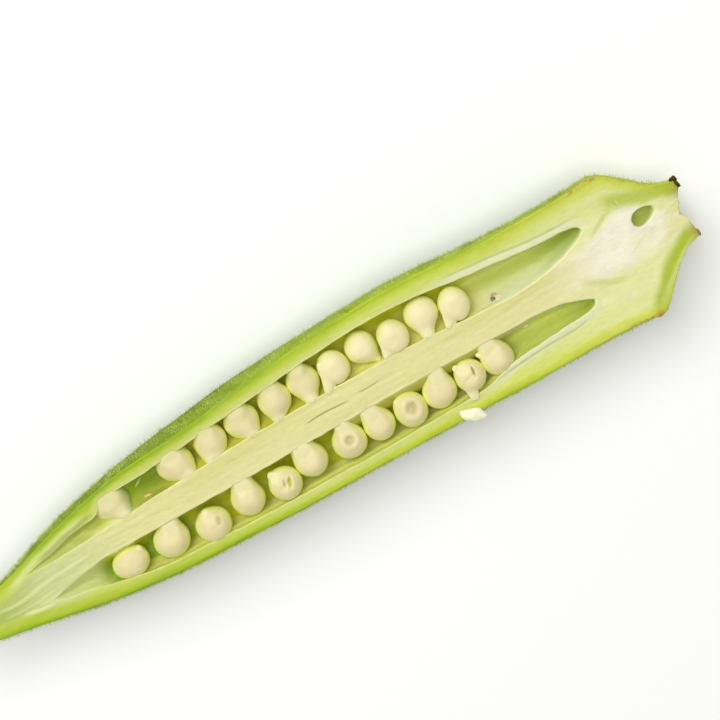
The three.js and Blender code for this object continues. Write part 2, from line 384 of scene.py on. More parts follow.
# each chamber's edges on the core's side and on the wall's, as distances from the pod's axis, and its depth
chambers = {
    "left": {
        "side": 1,
        "seed": 1,
        "from": 18.5,
        "to": 105.9,
        "inner": [
            (18.5, 0.9), (22, 0.85), (26.4, 0.95), (31.7, 1.2), (38.4, 1.7), (45.1, 2.05), (50.4, 2.35),
            (61.1, 2.5), (74.4, 2.5), (79.7, 2.3), (85.1, 1.9), (90.4, 1.45), (95.7, 1.3), (101.1, 2.2),
            (103.7, 3.2), (105.1, 3.8), (105.9, 4.3), (107.5, 3.6), (111, 1.3), (112.4, 0.75),
            (115.8, 0.75), (117.5, 1.2), (120, 1.6),
        ],
        "outer": [
            (18.5, 0.95), (21, 1.6), (23.2, 1.95), (25.9, 2.7), (27.7, 3.0), (29.6, 3.25), (30.8, 3.5),
            (31.5, 4.1), (32.2, 4.75), (34.5, 5.05), (38.4, 5.25), (45.1, 5.75), (50.4, 6.35),
            (61.1, 7.3), (66.4, 7.85), (74.4, 8.25), (79.7, 8.1), (85.1, 7.5), (90.4, 6.8), (95.7, 6.2),
            (101.1, 5.75), (103.7, 5.6), (105, 5.42), (105.6, 5.15), (105.9, 4.8), (107.5, 4.6),
            (111, 3.9), (112.4, 3.5), (115.8, 3.4), (117.5, 3), (120, 2.6),
        ],
        "depth": [
            (18.5, 0), (20, 0.2), (25, 0.45), (28, 0.75), (30, 1.2), (35.3, 1.9), (37, 3.3), (39, 4.5),
            (45, 5.3), (60, 5.9), (80, 6), (95, 5), (101, 4), (104, 3.2), (105.2, 2.5), (105.75, 1.4),
            (105.9, 0),
        ],
    },
    "right": {
        "side": -1,
        "seed": 5,
        "from": 20,
        "to": 103.2,
        "inner": [
            (20, 3.8), (22.1, 3.3), (24, 2.85), (26.4, 2.45), (28.5, 2.2), (34.4, 2.25), (50.4, 2.4),
            (74.4, 2.3), (85.1, 2.4), (95.7, 2.6), (98.4, 2.9), (100.4, 3.45), (102.1, 4.1),
            (103.2, 4.6), (106, 4.4), (111, 3.6), (120, 1.6),
        ],
        "outer": [
            (20, 4.0), (21.6, 4.55), (25.5, 5.3), (28.5, 6.05), (31, 6.65), (34.4, 7.2), (39.7, 7.65),
            (50.4, 8.1), (58.4, 8.3), (74.4, 8.3), (84.5, 8.1), (87, 7.5), (89.5, 6.85), (93, 6.45),
            (96, 6.2), (98.4, 6.05), (100.4, 5.95), (102.1, 5.7), (102.9, 5.4), (103.2, 5.05),
            (106, 4.8), (111, 4.4), (120, 2.4),
        ],
        "depth": [
            (20, 0), (21.5, 0.25), (26.4, 0.7), (27.4, 1.2), (28.6, 3.2), (34, 4.4), (45, 5.4), (60, 5.9),
            (80, 6), (95, 5), (100, 4), (101.8, 3.1), (102.7, 2.3), (103.1, 1.2), (103.2, 0),
        ],
    },
}

# a chamber's cross-section from the wall's edge to the core's: (share of the width, share of the depth)
chamberOutlines = {
    "left": [
        (1, 0), (1.06, 0.1), (1.14, 0.3), (1.08, 0.55), (0.9, 0.78), (0.62, 1), (0.4, 0.93),
        (0.2, 0.7), (0.04, 0.4), (-0.03, 0.15), (0, 0),
    ],
    "right": [
        (1, 0), (1.03, 0.05), (1.0, 0.14), (0.97, 0.3), (0.95, 0.5), (0.86, 0.78), (0.62, 1), (0.4, 0.95),
        (0.155, 0.68), (-0.04, 0.32), (-0.04, 0.15), (0, 0),
    ],
    # the right one nearer the stem, where its floor rises towards the core
    "raised": [
        (1, 0), (1.03, 0.05), (1.0, 0.14), (0.97, 0.3), (0.95, 0.5), (0.86, 0.78), (0.66, 1), (0.48, 0.7),
        (0.32, 0.36), (0.2, 0.2), (0.1, 0.12), (0.03, 0.06), (0, 0),
    ],
    "gentle": [
        (1, 0), (1.02, 0.12), (1.02, 0.3), (0.98, 0.6), (0.86, 0.88), (0.68, 1), (0.5, 0.9),
        (0.33, 0.62), (0.17, 0.32), (0.07, 0.12), (0, 0),
    ],
}

stemHollow = {
    "along": 114.15, "across": 2.1, "length": 1.7, "width": 1.1, "depth": 2.2, "slant": 0.25, "taper": 0.28,
}

# lines drawn on the cut face: half width, strength, and points at (from the tip, across)
cutLines = {
    "dark": [
        (0.17, 0.4, [(86, 8.3), (90, 7.9), (94, 7.5), (99.2, 6.85), (105.2, 6.6)]),
        (0.17, 0.4, [(86.5, -7.85), (90, -7.4), (94.5, -7.1), (99.4, -7.0), (101.5, -6.6)]),
        (0.12, 0.85, [(61.2, 0.05), (62.8, 0.18), (64.6, 0.2), (66.2, 0.08), (67.6, 0.02)]),
        (0.1, 0.6, [(69.4, 0.3), (70.6, 0.22), (72.4, 0.32)]),
        # painted shadow: a dark line just outside the left chamber's outer edge near the tip, where the
        # groove throws a shadow line; also cut as a shallow slit
        (0.45, 0.5, [(21, 1.95), (23.2, 2.3), (25.9, 3.0), (28.2, 3.4), (30.5, 3.8)]),
    ],
    "green": [
        (0.3, 0.42, [(106.6, 3.1), (108.4, 4.1), (110, 4.9), (111.6, 5.5)]),
        (0.5, 0.3, [(102.6, -1.8), (104.6, -2.9), (106.4, -3.8), (108.6, -4.5)]),
        (0.95, 0.9, [(109.6, -10.2), (111.6, -9.0), (113.5, -6.7), (116.3, -4.5), (119.5, -2.8)]),
        (1.1, 0.7, [(109.8, 6.2), (112.4, 5.5), (115.3, 4.6), (118.4, 3.9), (120, 3.7)]),
    ],
    "pale": [
        (0.5, 0.6, [(15.5, 0.2), (18, 1.05), (20, 1.9), (23, 2.65), (26, 3.45), (29, 4.0)]),
        # painted highlight: these two carry the right chamber's edge highlights on past its end towards the
        # tip, as pale raised lines
        (0.3, 0.7, [(15.6, -3.7), (18, -4.15), (20, -4.35)]),
        (0.3, 0.45, [(18, -3.65), (20.2, -3.75), (22, -3.35)]),
        (0.28, 0.5, [(12.5, -1.6), (16, -1.9), (20.5, -1.25), (27, -0.9)]),
        (0.2, 0.35, [(13, -2.9), (17, -3.1), (21, -2.7)]),
        (0.4, 0.3, [(110.6, -10.2), (113.6, -7.7), (116.4, -5.5), (119, -3.9)]),
    ],
}

halfWidth = smoothCurve(podShape["halfWidth"])
halfDepth = smoothCurve(podShape["halfDepth"])
centreLine = smoothCurve(podShape["centreLine"])
ridgeHeight = smoothCurve(podShape["ridgeHeight"])
farRimInset = smoothCurve(podShape["farRimInset"])
farSwelling = smoothCurve(podShape["farSwelling"])
bend = smoothCurve(podShape["bend"])
nearShoulder = smoothCurve(podShape["nearShoulder"])
stemEnd = smoothCurve(podShape["stemEnd"])

# the frame's own box says where the pod's axis lies across it
everywhere = np.linspace(0, podShape["length"], 400)
widest = (centreLine(everywhere) + halfWidth(everywhere)).max()
narrowest = (centreLine(everywhere) - halfWidth(everywhere)).min()
axisShift = (podHigh.y + podLow.y) / 2 / mm - (widest + narrowest) / 2


def toFrame(along, across, height):
    # from distance from the tip, distance from the axis, and height above the cut face
    return (podLow.x / mm + along, across + axisShift, cutHeight + height)


addCamera()
print("camera set")

podMesh = {
    "rings": 360,
    "skinPoints": 84,
    "wallPoints": 15,
    "chamberPoints": 42,
    "corePoints": 30,
    "rimRadius": 0.1,
    # the thin lip beside the chambers, where it comes and goes, and the share of it that goes
    "lipHeight": 0.05,
    "lipWidth": 0.22,
    "lipFrom": (22, 32),
    "lipTo": (84, 90),
    "lipLoss": 0.8,
    # the same for the fibres along the core
    "fibreFrom": (16, 26),
    "fibreTo": (96, 106),
    "fibreLoss": 0.7,
    "slit": 0.08,  # how deep the dark lines are cut
    "ridge": 0.1,  # how high the pale ones stand
    "capRings": 7,
    "capCentre": (0.1, -1.9),
    # where rings stand closer together: (distance from the tip, how far it reaches, how much closer)
    "crowded": [
        (0, 1.5, 6), (29, 2.5, 0.7), (103.2, 1.2, 1.2), (105.4, 1.2, 1.6), (114.1, 2.2, 1.1),
        (110.8, 1.6, 1.0), (119.5, 1.5, 0.8),
    ],
    # how ragged the chambers' edges are, and the stretches over which that comes and goes
    "edgeRaggedness": 0.11,
    "raggedFrom": (22, 36),
    "raggedTo": (106, 108),
    # (share, wavelength, seed) of its layers, on the core's side and on the wall's
    "raggedInner": [(0.8, 1.3, 0), (0.7, 4.5, 1)],
    "raggedOuter": [(0.7, 1.6, 2), (1.0, 5, 3)],
    # short of a chamber its points lie flat, at these shares of the pod's width, over this far
    "flatInner": 0.25,
    "flatOuter": 0.5,
    "flatRun": 6,
    "widest": 0.9,  # a chamber reaches no further out than this share
    "openDepth": 1.4,  # where a chamber has the whole of its cross-section
    # the stretches over which a chamber's own cross-section comes and goes, and the raised one comes
    "plainFrom": (32, 37),
    "plainTo": (84, 95),
    "raisedFrom": (63, 67),
}

# the small unevenness of each surface: (height, size of grain along, across and up, seed)
unevenness = {
    "wave": [(0.10, (7, 3, 5), 2), (0.035, (2.2, 0.8, 2), 3)],
    "fibre": [(0.03, (7, 0.5, 1), 4), (0.015, (2, 0.5, 1), 6)],
    "lip": [(0.9, (0.9, 3, 3), 7)],  # a share of the lip's height
    "chamberUp": [(0.10, (1.6, 1.2, 1.2), 8)],
    "chamberAcross": [(0.07, (1.4, 1.2, 1.2), 9)],
    "wrinkle": [(0.05, (6, 1.1, 1.1), 11), (0.035, (1.0, 0.7, 0.7), 12)],
    "torn": [(0.22, (9, 1.1, 1.1), 13), (0.12, (9, 0.5, 0.5), 14)],
    "tornMiddle": [(0.22, (9, 1.1, 1.1), 13), (0.25, (9, 0.6, 0.6), 15)],
    "seed": [(0.09, 1.9, 40), (0.02, 0.6, 70)],
    "scrap": [(0.35, 1 / 1.3, 90), (0.15, 1 / 3, 95)],  # shares of its size
}


def uneven(kind, place, number=0):
    # number: which one of several alike, so that no two are uneven in the same way
    layers = unevenness[kind]
    return sum(height * grain(place / size, seed + number) for height, size, seed in layers)


def ridgeFactor(angle, height):
    # how far the skin stands out at an angle from straight down, where 1 is the skin at the cut face
    def crest(a):
        return 1 - np.abs(np.sin(podShape["ridgeCount"] * a / 2)) ** podShape["ridgeSharpness"]

    return (1 + height * crest(angle)) / (1 + height * crest(math.pi / 2))


def outlinePoints(name):
    # evenly spaced points on a smooth curve through a chamber's outline
    controls = np.array(chamberOutlines[name], float)
    keys = np.arange(len(controls))
    fine = np.linspace(0, len(controls) - 1, 600)
    path = np.stack([smoothCurve(np.stack([keys, controls[:, c]], 1))(fine) for c in (0, 1)], 1)
    lengths = np.concatenate([[0], np.cumsum(np.linalg.norm(np.diff(path, axis=0), axis=1))])
    even = np.linspace(0, lengths[-1], podMesh["chamberPoints"])
    return np.stack([np.interp(even, lengths, path[:, c]) for c in (0, 1)], 1)


def podStations():
    fine = np.linspace(0, podShape["length"], 4000)
    density = np.ones_like(fine)
    for middle, spread, extra in podMesh["crowded"]:
        density += extra * bell((fine - middle) / spread)
    total = np.concatenate([[0], np.cumsum((density[1:] + density[:-1]) / 2)])
    even = np.linspace(0, total[-1], podMesh["rings"] + 1)[1:]
    return np.interp(even, total, fine)


def chamberSection(name, s):
    # one chamber's points at each ring, from the wall's edge to the core's
    chamber = chambers[name]
    side = chamber["side"]
    inner = smoothCurve(chamber["inner"])(s)
    outer = smoothCurve(chamber["outer"])(s)
    width = halfWidth(s)
    axis = side * centreLine(s)
    ragged = podMesh["edgeRaggedness"] * smoothStep(*podMesh["raggedFrom"], s)
    ragged = ragged * (1 - smoothStep(*podMesh["raggedTo"], s))

    def waves(layers):
        return sum(share * wobble(s, wave, chamber["seed"] + seed) for share, wave, seed in layers)

    inner = inner + ragged * waves(podMesh["raggedInner"])
    outer = outer + ragged * waves(podMesh["raggedOuter"])
    flatShare = 1 - smoothStep(chamber["from"] - podMesh["flatRun"], chamber["from"], s)
    inner = inner * (1 - flatShare) + (axis + podMesh["flatInner"] * width) * flatShare
    outer = outer * (1 - flatShare) + (axis + podMesh["flatOuter"] * width) * flatShare
    outer = np.minimum(outer, axis + podMesh["widest"] * width)
    inner = np.minimum(inner, outer - 0.02 * width)
    inside = (s > chamber["from"]) & (s < chamber["to"])
    depth = np.where(inside, smoothCurve(chamber["depth"])(s), 0)
    plain = outlinePoints(name)
    share = np.maximum(smoothStep(*podMesh["plainTo"], s), 1 - smoothStep(*podMesh["plainFrom"], s))
    share = share[:, None, None]
    if name == "right":
        raised = smoothStep(*podMesh["raisedFrom"], s)[:, None, None]
        plain = plain[None] + (outlinePoints("raised") - plain)[None] * raised
    outline = plain * (1 - share) + outlinePoints("gentle")[None] * share
    opened = smoothStep(0, podMesh["openDepth"], depth)[:, None]
    even = np.linspace(1, 0, podMesh["chamberPoints"])[None]
    u = even + (outline[..., 0] - even) * opened
    return {
        "across": side * (inner[:, None] + u * (outer - inner)[:, None]),
        "height": -outline[..., 1] * depth[:, None],
        "innerEdge": side * inner,
        "outerEdge": side * outer,
        "depth": depth,
        "share": u,
    }


def podPoints():
    s = podStations()
    column = s[:, None]
    middle = centreLine(column) - bend(column)
    width = halfWidth(column)
    rim = podMesh["rimRadius"] * smoothStep(0, 3, column)

    t = np.linspace(-1, 1, podMesh["skinPoints"])
    angle = (math.pi / 2 * (0.55 * t + 0.45 * np.sin(math.pi / 2 * t)))[None]
    factor = ridgeFactor(angle, ridgeHeight(column))
    skinAcross = middle + width * factor * np.sin(angle)
    turned = np.degrees(angle)
    swellingAngle, swellingSpread = podShape["swellingAt"]
    skinAcross -= farRimInset(column) * smoothStep(*podShape["insetFrom"], turned)
    skinAcross += farSwelling(column) * bell((turned - swellingAngle) / swellingSpread)
    skinAcross -= nearShoulder(column) * smoothStep(*podShape["shoulderFrom"], -turned)
    skinHeight = np.maximum(-halfDepth(column) * factor * np.cos(angle), -cutHeight)
    skinHeight = np.minimum(skinHeight, -rim)

    left = chamberSection("left", s)
    right = chamberSection("right", s)

    def wall(side, edge):
        # from the rim inwards to the chamber's edge
        inset = farRimInset(column) if side > 0 else -nearShoulder(column)
        start = (middle + side * (width - rim - inset))[:, 0]
        share = np.linspace(0, 1, podMesh["wallPoints"])
        share = (0.6 * share + 0.4 * (0.5 - 0.5 * np.cos(math.pi * share)))[None]
        return (start[:, None] + share * (edge - start)[:, None])[:, :-1]

    share = np.linspace(0, 1, podMesh["corePoints"] + 2)[1:-1][None]
    core = left["innerEdge"][:, None] + share * (right["innerEdge"] - left["innerEdge"])[:, None]

    # once round, the skin from the right rim to the left, then the cut face back: (zone, across, height,
    # and how far out it lies between the core and the wall)
    stretches = [
        ("skin", skinAcross, skinHeight, 0),
        ("wall", wall(1, left["outerEdge"]), 0, 1),
        ("left", left["across"], left["height"], left["share"]),
        ("core", core, 0, 0),
        ("right", right["across"][:, ::-1], right["height"][:, ::-1], right["share"][:, ::-1]),
        ("wall", wall(-1, right["outerEdge"])[:, ::-1], 0, 1),
    ]
    zone = np.concatenate([np.full(a.shape[1], name) for name, a, _, _ in stretches])
    across = np.concatenate([a for _, a, _, _ in stretches], axis=1)
    height = np.concatenate([h + np.zeros_like(a) for _, a, h, _ in stretches], axis=1)
    outward = np.concatenate([o + np.zeros_like(a) for _, a, _, o in stretches], axis=1)
    along = np.broadcast_to(column, across.shape).copy()
    return along, across, height, zone, outward, {"left": left, "right": right}


def nearestOutline(along, across, edges):
    # how far each point is from the nearest chamber's outline, seen from above
    nearest = np.full(along.shape, 9.0)
    s = along[:, 0]
    for section in edges.values():
        opened = section["depth"] > 0
        outline = np.concatenate([
            np.stack([s[opened], section[edge][opened]], axis=1) for edge in ("innerEdge", "outerEdge")
        ])
        for row in range(len(s)):
            near = outline[np.abs(outline[:, 0] - s[row]) < 9]
            if len(near):
                gaps = np.hypot(near[:, 0] - s[row], near[:, 1] - across[row][:, None])
                nearest[row] = np.minimum(nearest[row], gaps.min(axis=1))
    return nearest


def lineMasks(along, across, lines):
    # the signed distance to the nearest of a set of lines, in half widths, and how strong it is there
    offset = np.full(along.shape, 9.0)
    strength = np.zeros(along.shape)
    for width, depth, places in lines:
        points = np.array(places, float)
        slope = np.gradient(points[:, 1], points[:, 0])
        steepness = np.sqrt(1 + np.interp(along, points[:, 0], slope) ** 2)
        away = (across - smoothCurve(points)(along)) / steepness / width
        start, end = points[0, 0], points[-1, 0]
        fade = 0.12 * (end - start) + 0.3
        present = smoothStep(start - fade / 2, start + fade, along)
        present *= 1 - smoothStep(end - fade, end + fade / 2, along)
        nearer = (np.abs(away) < np.abs(offset)) & (present > 0)
        offset = np.where(nearer, away, offset)
        strength = np.where(nearer, present * depth, strength)
    return np.clip(offset, -9, 9), strength


def podMasks(along, across, height, zone, outward, edges):
    # what each point is near, for the materials
    flat = zone != "skin"
    chamber = np.isin(zone, ("left", "right"))
    offAxis = across - centreLine(along) + bend(along)
    rimDistance = halfWidth(along) - np.abs(offAxis)
    rimDistance += np.where(offAxis > 0, -farRimInset(along), nearShoulder(along))
    rimDistance = np.where(flat, rimDistance, 0)
    inside = np.zeros(along.shape)
    for name in edges:
        deep = smoothStep(0, 0.25, edges[name]["depth"])[:, None]
        share = np.minimum(outward, 1 - outward)
        inside = np.where(zone == name, deep * smoothStep(0, 0.1, share), inside)
    tipward = 1 - smoothStep(20, 30, along)
    core = (zone == "core") * (1 - tipward) + tipward * smoothStep(1.4, 2.6, rimDistance) * flat
    edgeDistance = np.where(flat & ~chamber, nearestOutline(along, across, edges), np.where(flat, 0, 9))
    masks = {
        "rimDistance": np.clip(rimDistance, 0, 12),
        "edgeDistance": edgeDistance,
        "sunk": np.where(chamber, np.clip(-height, 0, 6), 0),
        "inside": inside,
        "outward": outward,
        "core": core,
        "rightward": np.broadcast_to(zone == "right", along.shape),
    }
    for kind, lines in cutLines.items():
        offset, strength = lineMasks(along, across, lines)
        masks[kind + "Offset"] = offset
        masks[kind + "Line"] = np.where(flat, strength, 0)
    return masks


def podSurface(along, across, height, zone, masks):
    # the small unevenness of every surface, added to the plain shape
    flat = zone != "skin"
    place = np.stack([along, across, height], axis=-1)

    # the cut: a gentle wave, fibres along the core, a thin lip beside the chambers, and the slits
    calm = smoothStep(0.05, 0.5, masks["rimDistance"])
    lip = podMesh["lipHeight"] * bell(masks["edgeDistance"] / podMesh["lipWidth"])
    lip *= (0.5 + uneven("lip", place)) * (masks["sunk"] < 0.05) * smoothStep(*podMesh["lipFrom"], along)
    lip *= 1 - podMesh["lipLoss"] * smoothStep(*podMesh["lipTo"], along)
    slit = podMesh["ridge"] * masks["paleLine"] * bell(masks["paleOffset"])
    slit -= podMesh["slit"] * masks["darkLine"] * bell(masks["darkOffset"])
    height = height + np.where(flat, calm * (uneven("wave", place) + slit) + lip, 0)
    fibre = uneven("fibre", place) * smoothStep(*podMesh["fibreFrom"], along)
    fibre *= 1 - podMesh["fibreLoss"] * smoothStep(*podMesh["fibreTo"], along)
    height = height + np.where(zone == "core", fibre, 0)

    # the chamber lining is uneven
    lining = np.isin(zone, ("left", "right")) * np.clip(masks["sunk"] / 0.8, 0, 1)
    height = height + lining * uneven("chamberUp", place)
    across = across + lining * uneven("chamberAcross", place)

    # the hollow in the stem end
    hollow = stemHollow
    offAlong = (along - hollow["along"]) / hollow["length"]
    width = hollow["width"] * (1 - hollow["taper"] * offAlong)
    offAcross = (across - hollow["across"] - hollow["slant"] * offAlong) / width
    reach = np.hypot(offAlong, offAcross)
    dip = np.sqrt(np.clip(1 - reach**2, 0, 1))
    height = height - np.where(flat, hollow["depth"] * dip, 0)
    masks["hollow"] = np.where(flat, smoothStep(1.08, 0.92, reach), 0)

    # the skin: fine wrinkles along the pod, a ring of scars at the shoulder, and ribs round the neck
    middle = centreLine(along)
    out = np.stack([across - middle, height], axis=-1)
    out /= np.maximum(np.linalg.norm(out, axis=-1, keepdims=True), 1e-6)
    angle = np.arctan2(across - middle, -height)
    around = np.stack([angle * 2.2, along * 0.15, np.zeros_like(along)], axis=-1)
    scar = 0
    for strength, ring, sway, halfWide, seed in podShape["scars"]:
        scar += strength * bell((along - ring - sway * grain(around, seed)) / halfWide)
    ribs = podShape["neckRibs"] * np.cos(podShape["ribCount"] * angle)
    ribs = ribs * smoothStep(*podShape["ribsFrom"], along)
    resting = smoothStep(-cutHeight + 0.25, -cutHeight + 1.2, height)
    wrinkle = uneven("wrinkle", place) + podShape["scarHeight"] * scar + ribs
    wrinkle = np.where(zone == "skin", wrinkle * resting * smoothStep(0.5, 6, along), 0)
    across = across + wrinkle * out[..., 0]
    height = height + wrinkle * np.minimum(out[..., 1], 0)
    masks["scar"] = np.where(zone == "skin", np.clip(scar, 0, 1), 0)

    # the cut end of the stem is torn, and lies at another distance all across it
    nearEnd = smoothStep(podShape["tornFrom"], podShape["length"], along)
    along = along + nearEnd * (stemEnd(across) - podShape["length"] + uneven("torn", place))
    return along, across, height


def buildPod(materials):
    along, across, height, zone, outward, edges = podPoints()
    masks = podMasks(along, across, height, zone, outward, edges)
    along, across, height = podSurface(along, across, height, zone, masks)
    rings, count = along.shape
    points = np.stack(toFrame(along, across, height), axis=-1).reshape(-1, 3)
    faces = ringFaces(range(0, rings * count, count), count)

    # the tip closes on one point, the stem end on shrinking rings
    faces += fanFaces(0, count, len(points), True)
    points = np.vstack([points, toFrame(0, centreLine(0), 0)])
    capAcross, capHeight = podMesh["capCentre"]
    starts = [(rings - 1) * count]
    for share in np.linspace(1, 0, podMesh["capRings"] + 2)[1:-1] ** 0.85:
        y = capAcross + (across[-1] - capAcross) * share
        z = capHeight + (height[-1] - capHeight) * share
        x = stemEnd(y) + uneven("tornMiddle", np.stack([np.full_like(y, 9), y, z], axis=-1))
        starts.append(len(points))
        points = np.vstack([points, np.stack(toFrame(x, y, z), axis=-1)])
    faces += ringFaces(starts, count) + fanFaces(starts[-1], count, len(points))
    points = np.vstack([points, toFrame(stemEnd(capAcross), capAcross, capHeight)])

    extra = len(points) - rings * count
    onCap = {"rimDistance": 4, "edgeDistance": 9, "darkOffset": 9, "greenOffset": 9, "paleOffset": 9}
    values = {
        key: np.concatenate([mask.ravel(), np.full(extra, onCap.get(key, 0))])
        for key, mask in masks.items()
    }

    # the skin's faces lie between its own points, on every ring
    isSkin = np.zeros(len(faces), int)
    lanes = np.tile(np.arange(count), rings - 1)
    isSkin[: len(lanes)] = lanes < podMesh["skinPoints"] - 1
    isSkin[len(lanes) : len(lanes) + podMesh["skinPoints"] - 1] = 1
    return meshObject("podBody", points, faces, materials, 1 - isSkin, values)


fleshLook = {
    # distance from the skin in mm, and the colour there: on the pod's far side, on its near side, and
    # towards the stem
    "rimStops": [
        (0.0, (140, 168, 10), (150, 168, 48), (170, 184, 60)),
        (0.25, (150, 180, 10), (182, 198, 42), (200, 208, 76)),
        (0.7, (176, 196, 40), (196, 208, 58), (210, 217, 92)),
        (1.4, (186, 201, 66), (212, 219, 108), (218, 223, 120)),
        (2.2, (201, 210, 102), (216, 221, 118), (225, 229, 162)),
        (3.2, (210, 216, 134), (220, 222, 142), (224, 226, 150)),
        (5.0, (226, 226, 158), (228, 227, 160), (232, 230, 170)),
    ],
    "farStem": (246, 247, 236),  # laid over the stem's colours on the far side
    "core": (226, 221, 160), "coreStreak": (216, 213, 140), "coreTip": (202, 211, 146),
    "tip": (176, 190, 96), "besideChamber": (206, 211, 126), "besideEmpty": (222, 225, 178),
    # painted light: the left chamber's lining is given twice below, a darker copy and then a lit copy for
    # the shade on its outer wall
    "cutEdge": (226, 228, 158), "liningDeep": (202, 203, 18), "liningShadedCopy": (212, 204, 62),
    "liningLitCopy": (232, 237, 16),
    "liningPocketLight": (246, 238, 150),  # painted light: paler lining in the left chamber, close to the core and nearer the stem, where the pockets lie in shadow
    "liningRaised": (184, 177, 78),  # in the right chamber, where its floor rises towards the core
    "liningTip": (178, 186, 74), "liningGreen": (158, 184, 36), "liningPale": (210, 218, 116),
    # painted shadow and light on the right chamber's outer wall: the darker band under its lip and the pale
    # shelf below it
    "liningWhite": (222, 224, 176), "shelfPaleAndLit": (228, 230, 128), "lipPaintedShadow": (196, 202, 84),
    "tipLining": (190, 199, 118), "tipGroove": (178, 186, 84), "pith": (241, 236, 214),
    "pithGreen": (226, 228, 162), "pithGrey": (228, 224, 206), "rust": (176, 120, 50),
    "stemEnd": (158, 144, 62), "hollow": (182, 192, 96), "greenLine": (174, 190, 44),
    "paleLine": (224, 230, 170), "darkLine": (150, 158, 76),
    "streaks": {
        "bands": (1.4, 5, 3, 1), "core": (1.2, 20, 2, 2), "frayed": (0.7, 2, 3, 6),
        "clouds": (2.2, 1.4, 3, 12), "grey": (2.6, 1, 3, 7), "rust": (0.5, 1, 4, 11),
        "cells": (1.2, 2, 4, 4), "spots": (0.35, 3, 4, 5), "wet": (0.8, 3, 3, 8),
        "fibres": (0.4, 8, 3, 9), "pores": (0.6, 1.2, 3, 10),
    },
    "bumps": [("fibres", 0.03, 0.12), ("pores", 0.06, 0.2)],
    "roughness": (0.35, 0.57),
    "shine": 0.3,
    "glow": (0.7, (1.0, 1.0, 0.85), 0.4),
}


